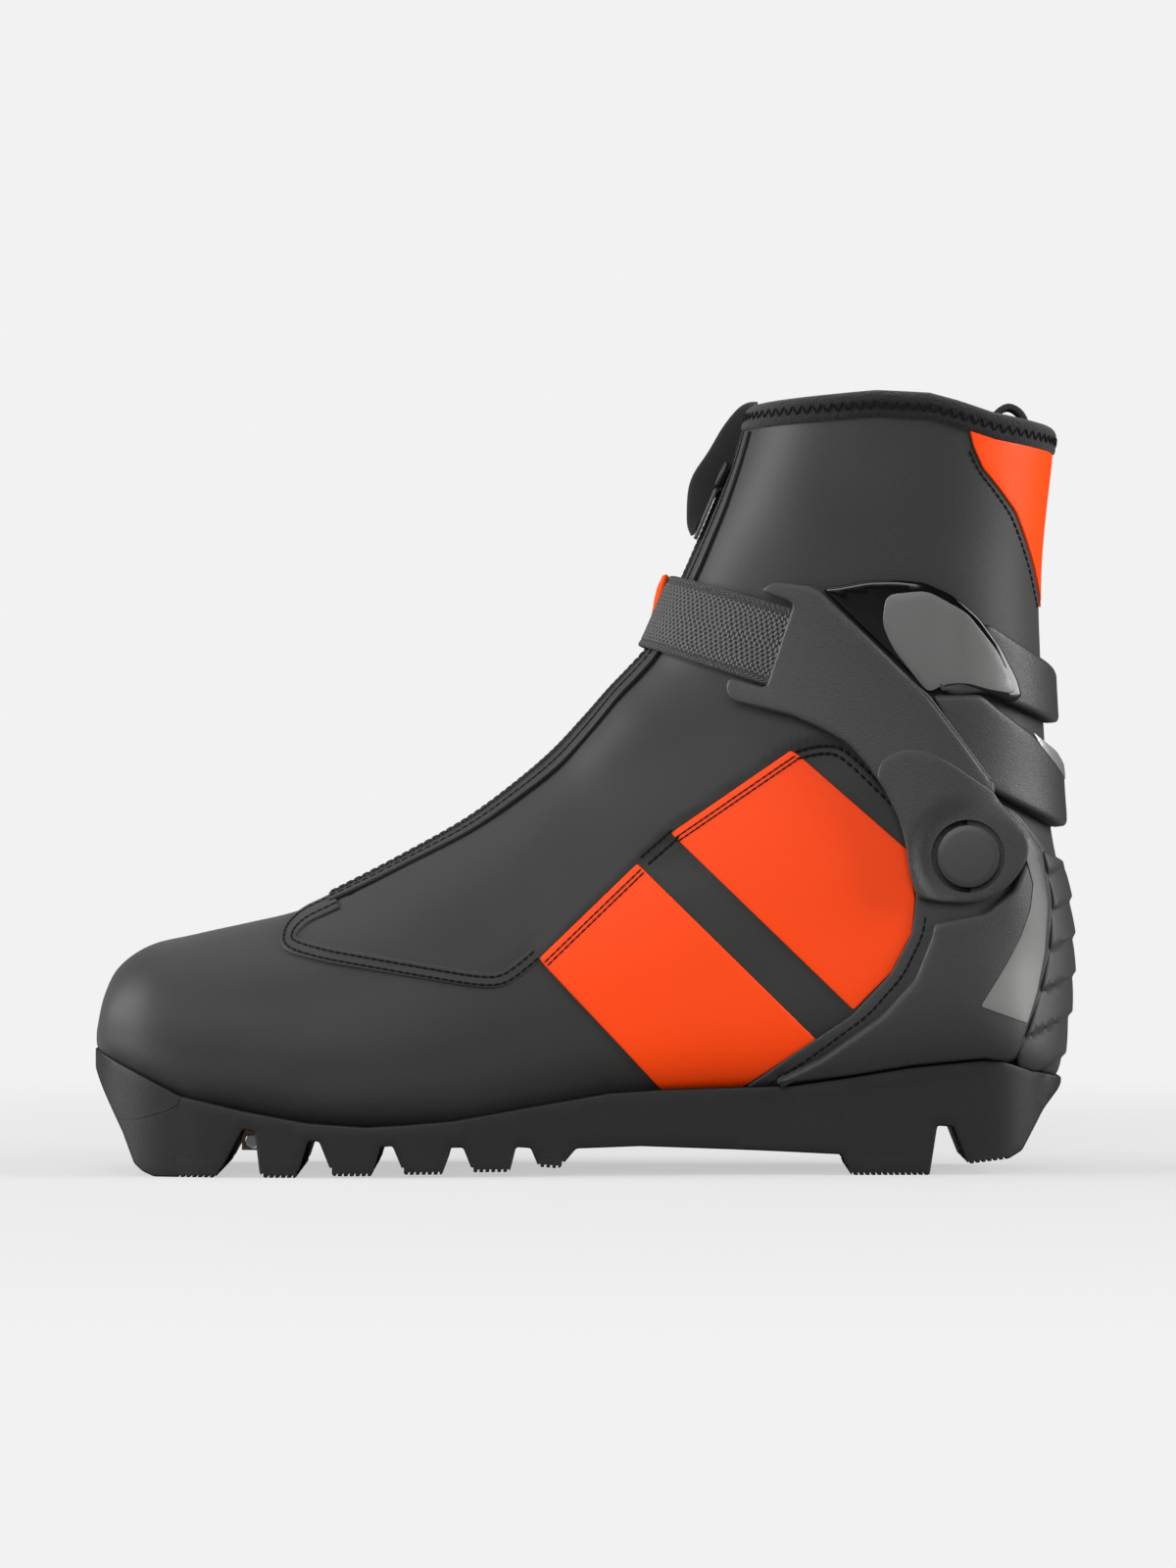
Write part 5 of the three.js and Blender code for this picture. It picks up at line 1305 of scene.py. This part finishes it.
def band_net(profile, sigma):
    """A strip along the front of the boot; the profile lists y and lift round its cross-section."""
    rows = [skin(sigma, at_y(sigma, np.full(len(sigma), y)), np.full(len(sigma), lift)) for y, lift in profile]
    net = np.array(rows + rows[:1])
    ends = [np.broadcast_to(net[:-1, k].mean(0), (len(net), 1, 3)) for k in (0, -1)]
    return np.concatenate([ends[0], net, ends[1]], 1)


def flat_band(low, high, under, over, edge=0.4):
    top = [(low, (under + over) / 2), (low + edge * 0.3, over - 0.1), (low + edge, over)]
    middle = [(v, over) for v in np.linspace(low + 2 * edge, high - 2 * edge, 9)]
    return top + middle + [(low + high - v, e) for v, e in top[::-1]] \
        + [(high - edge, under), ((low + high) / 2, under), (low + edge, under)]


zip_first = float(locate([(-79.2, 84.4)], OUTER)[0, 0])
zip_last = float(sigma_where(collar_gap(BINDING_HEIGHT + 0.3), np.array([0.0]), 0.8)[0])
zip_sigma = np.linspace(zip_first, zip_last, 160)
tape = grid_piece("zip_tape_strip", band_net(flat_band(-11, 1, 0.1, 1.0), zip_sigma), (0.19, 0.03))
dressed(tape, "zip_tape", "zip_tape_lower", "zip_tape_upper", bends=True)


def front_line(y, first=zip_first, last=zip_last):
    sigma = np.linspace(first, last, 300)
    return np.stack([sigma, at_y(sigma, np.full(300, y))], 1)


placket = joined("zip_placket", [grid_piece("placket_" + word, band_net(flat_band(low, high, 0.0, 1.35), zip_sigma))
                                 for word, low, high in (("near", -14.5, -9.4), ("far", -0.6, 4.5))])
dressed(placket, "softshell", bends=True)
dressed(stitches("zip_coil", [front_line(ZIP_Y)], 3.0, -1.9, 0.8, 1.05, 2.6), "zip_tape", look="zip_metal",
        bends=True)
dressed(stitches("front_stitches", [front_line(-11.6), front_line(1.2)], 2.4, 1.5, 0.7, 1.4), "softshell",
        look="seam_thread", bends=True)
for node, slot_name, rider, edge in (("zip_slider", "zip_metal", "slider", 0.5),
                                     ("zip_pull", "zip_pull", "pull", 0.4),
                                     ("heel_pull_loop", "pull_loop", "cuff", 0.35),
                                     ("insole", "insole", "boot", 0.6)):
    piece = refined(node, edge)
    if node == "heel_pull_loop":
        plump(piece, 0.4)
    dressed(piece, slot_name, node, body=rider)
tongue_sigma = sigma_where(lambda x, z: z - 147, np.array([0.0]), 0.5)[0]
tongue = grid_piece("tongue_pad",
                    band_net(flat_band(-16.5, 16.5, -8.3, -5.9, 1.2), np.linspace(tongue_sigma, zip_last, 80)))
dressed(tongue, "lining", "tongue", body="cuff")

FLAP_PROFILE = [(52.5, 237.0), (49.6, 237.2), (46.4, 235.4), (42.3, 229.2), (36.4, 220.6), (32.2, 213.2),
                (30.7, 206.0), (31.0, 199.5), (32.6, 196.4)]


def build_flap():
    """Stretch fabric hood over the zip's end: sewn in at the collar, its long edges curled back."""
    spine = even(rounded(FLAP_PROFILE, 6, False), 1.0)
    v = np.linspace(0, 1, len(spine))
    across = np.linspace(-1, 1, 25)
    half = (8.4 - 2.2 * step_up(v, 0.75, 1.0))[:, None]
    y = 7.1 + across[None] * half
    curl = (1.5 + 8.5 * np.sin(np.pi * np.clip(v * 1.02, 0, 1)) ** 0.8)[:, None]
    near = np.clip((-across[None] - 0.45) / 0.55, 0, 1) ** 1.6
    far = np.clip((across[None] - 0.6) / 0.4, 0, 1) ** 1.8 * 0.4
    d = np.gradient(spine, axis=0)
    d /= np.linalg.norm(d, axis=1, keepdims=True)
    back = np.stack([-d[:, 1], d[:, 0]], 1)          # towards the boot
    shift = curl * (near + far)
    ripple = 0.25 * np.sin(v * 17)[:, None] * (1 - near)
    x = spine[:, 0][:, None] + back[:, 0][:, None] * (shift + ripple)
    z = spine[:, 1][:, None] + back[:, 1][:, None] * (shift + ripple)
    top = np.stack([x, np.broadcast_to(y, x.shape), z], 2)
    piece = grid_piece("zip_hood", top)
    solid = piece.modifiers.new("thickness", "SOLIDIFY")
    solid.thickness, solid.offset = 0.9 * MM, 0.0
    apply_all(piece)
    return outward(piece)


dressed(build_flap(), "zip_flap", "zip_flap", body="flap")


# ------------------------------------------------------------------ what is left of the frame
for node_name, look in (("toe_axle", "steel"), ("ball_axle", "steel"), ("axle_carrier", "carrier"),
                        ("shank", "shank"), ("lasting_board", "board"), ("lace", "lace"),
                        ("pivot_washer_inner", "steel"), ("pivot_washer_outer", "steel"),
                        ("pivot_pin_inner", "steel"), ("pivot_pin_outer", "steel")):
    NODES[node_name].data.materials.clear()
    NODES[node_name].data.materials.append(FINISH[look])

# ------------------------------------------------------------------ floor, light and camera
VIEW_CENTRE = Vector((0.0, -0.02, 0.1191))
VIEW_HEIGHT = 0.48
LENS, SENSOR = 160.0, 36.0


def floor_paint():
    """Pale paper: lit and shadowed near the boot, even further away, and dimmer to the light it returns."""
    material = bpy.data.materials.new("studio_floor")
    material.use_nodes = True
    nodes, link = material.node_tree.nodes, material.node_tree.links.new
    nodes.remove(nodes["Principled BSDF"])
    lit, bounce, even_tone = (nodes.new(kind) for kind in ("ShaderNodeBsdfDiffuse", "ShaderNodeBsdfDiffuse",
                                                           "ShaderNodeEmission"))
    lit.inputs["Color"].default_value = (FLOOR_PAINT, FLOOR_PAINT, FLOOR_PAINT, 1)
    bounce.inputs["Color"].default_value = (FLOOR_BOUNCE, FLOOR_BOUNCE, FLOOR_BOUNCE, 1)
    even_tone.inputs["Strength"].default_value = FLOOR_TONE
    reach = nodes.new("ShaderNodeVectorMath")
    reach.operation = "LENGTH"
    link(nodes.new("ShaderNodeTexCoord").outputs["Object"], reach.inputs[0])
    near = nodes.new("ShaderNodeMapRange")
    near.interpolation_type = "SMOOTHSTEP"
    for socket, value in zip(("From Min", "From Max", "To Min", "To Max"), (*FLOOR_FADE, FLOOR_LIT, 0.0)):
        near.inputs[socket].default_value = value
    link(reach.outputs["Value"], near.inputs["Value"])
    shown, seen = nodes.new("ShaderNodeMixShader"), nodes.new("ShaderNodeMixShader")
    link(near.outputs[0], shown.inputs["Fac"])
    link(even_tone.outputs[0], shown.inputs[1])
    link(lit.outputs[0], shown.inputs[2])
    link(nodes.new("ShaderNodeLightPath").outputs["Is Camera Ray"], seen.inputs["Fac"])
    link(bounce.outputs[0], seen.inputs[1])
    link(shown.outputs[0], seen.inputs[2])
    link(seen.outputs[0], nodes["Material Output"].inputs["Surface"])
    return material


def build_stage():
    floor = grid_piece("studio_floor", np.array([[(x, y, 0.0) for x in np.linspace(-20, 20, 9)]
                                                 for y in np.linspace(-20, 20, 9)]) / MM)
    floor.data.materials.append(floor_paint())
    world = bpy.data.worlds.new("studio")
    world.use_nodes = True
    bpy.context.scene.world = world
    nodes, link = world.node_tree.nodes, world.node_tree.links.new
    background = nodes["Background"]
    background.inputs["Color"].default_value = (1, 1, 1, 1)
    background.inputs["Strength"].default_value = BACKDROP
    ambient = nodes.new("ShaderNodeBackground")
    ambient.inputs["Strength"].default_value = AMBIENT
    ray = nodes.new("ShaderNodeLightPath")
    mix = nodes.new("ShaderNodeMixShader")
    link(ray.outputs["Is Camera Ray"], mix.inputs["Fac"])
    link(ambient.outputs[0], mix.inputs[1])
    link(background.outputs[0], mix.inputs[2])
    link(mix.outputs[0], nodes["World Output"].inputs["Surface"])
    for name, place, aim, size, power in LAMPS:
        lamp = bpy.data.lights.new(name, "AREA")
        lamp.shape, lamp.size, lamp.size_y, lamp.energy = "RECTANGLE", size[0], size[1], power
        holder = bpy.data.objects.new(name, lamp)
        bpy.context.scene.collection.objects.link(holder)
        holder.location = place
        holder.rotation_euler = (Vector(aim) - Vector(place)).to_track_quat("-Z", "Y").to_euler()


FLOOR_TONE, FLOOR_PAINT, FLOOR_LIT, FLOOR_BOUNCE = 0.885, 0.54, 0.40, 0.25
FLOOR_FADE = (0.16, 0.75)                 # metres over which the lit floor turns even
BACKDROP, AMBIENT = 0.888, 0.08
LAMPS = [("softbox_top", (-0.2, 0.1, 1.5), (0, 0, 0.1), (1.6, 1.0), 9.0),
         ("softbox_left", (-1.7, -0.15, 0.6), (0, 0, 0.12), (0.9, 1.3), 44.0),
         ("softbox_right", (1.7, -0.3, 0.7), (0.05, 0, 0.12), (0.8, 1.3), 40.0),
         ("softbox_front", (-0.3, -2.2, 1.0), (0, 0, 0.12), (1.6, 1.2), 30.0)]
build_stage()

camera = bpy.data.objects.new("camera", bpy.data.cameras.new("camera"))
bpy.context.scene.collection.objects.link(camera)
camera.data.lens, camera.data.sensor_width = LENS, SENSOR
away = VIEW_HEIGHT * LENS / SENSOR
camera.location = VIEW_CENTRE - Vector((0, away, 0))
camera.rotation_euler = (math.pi / 2, 0, 0)
camera.data.clip_end = 100
bpy.context.scene.camera = camera
bpy.context.scene.view_settings.view_transform = "Standard"
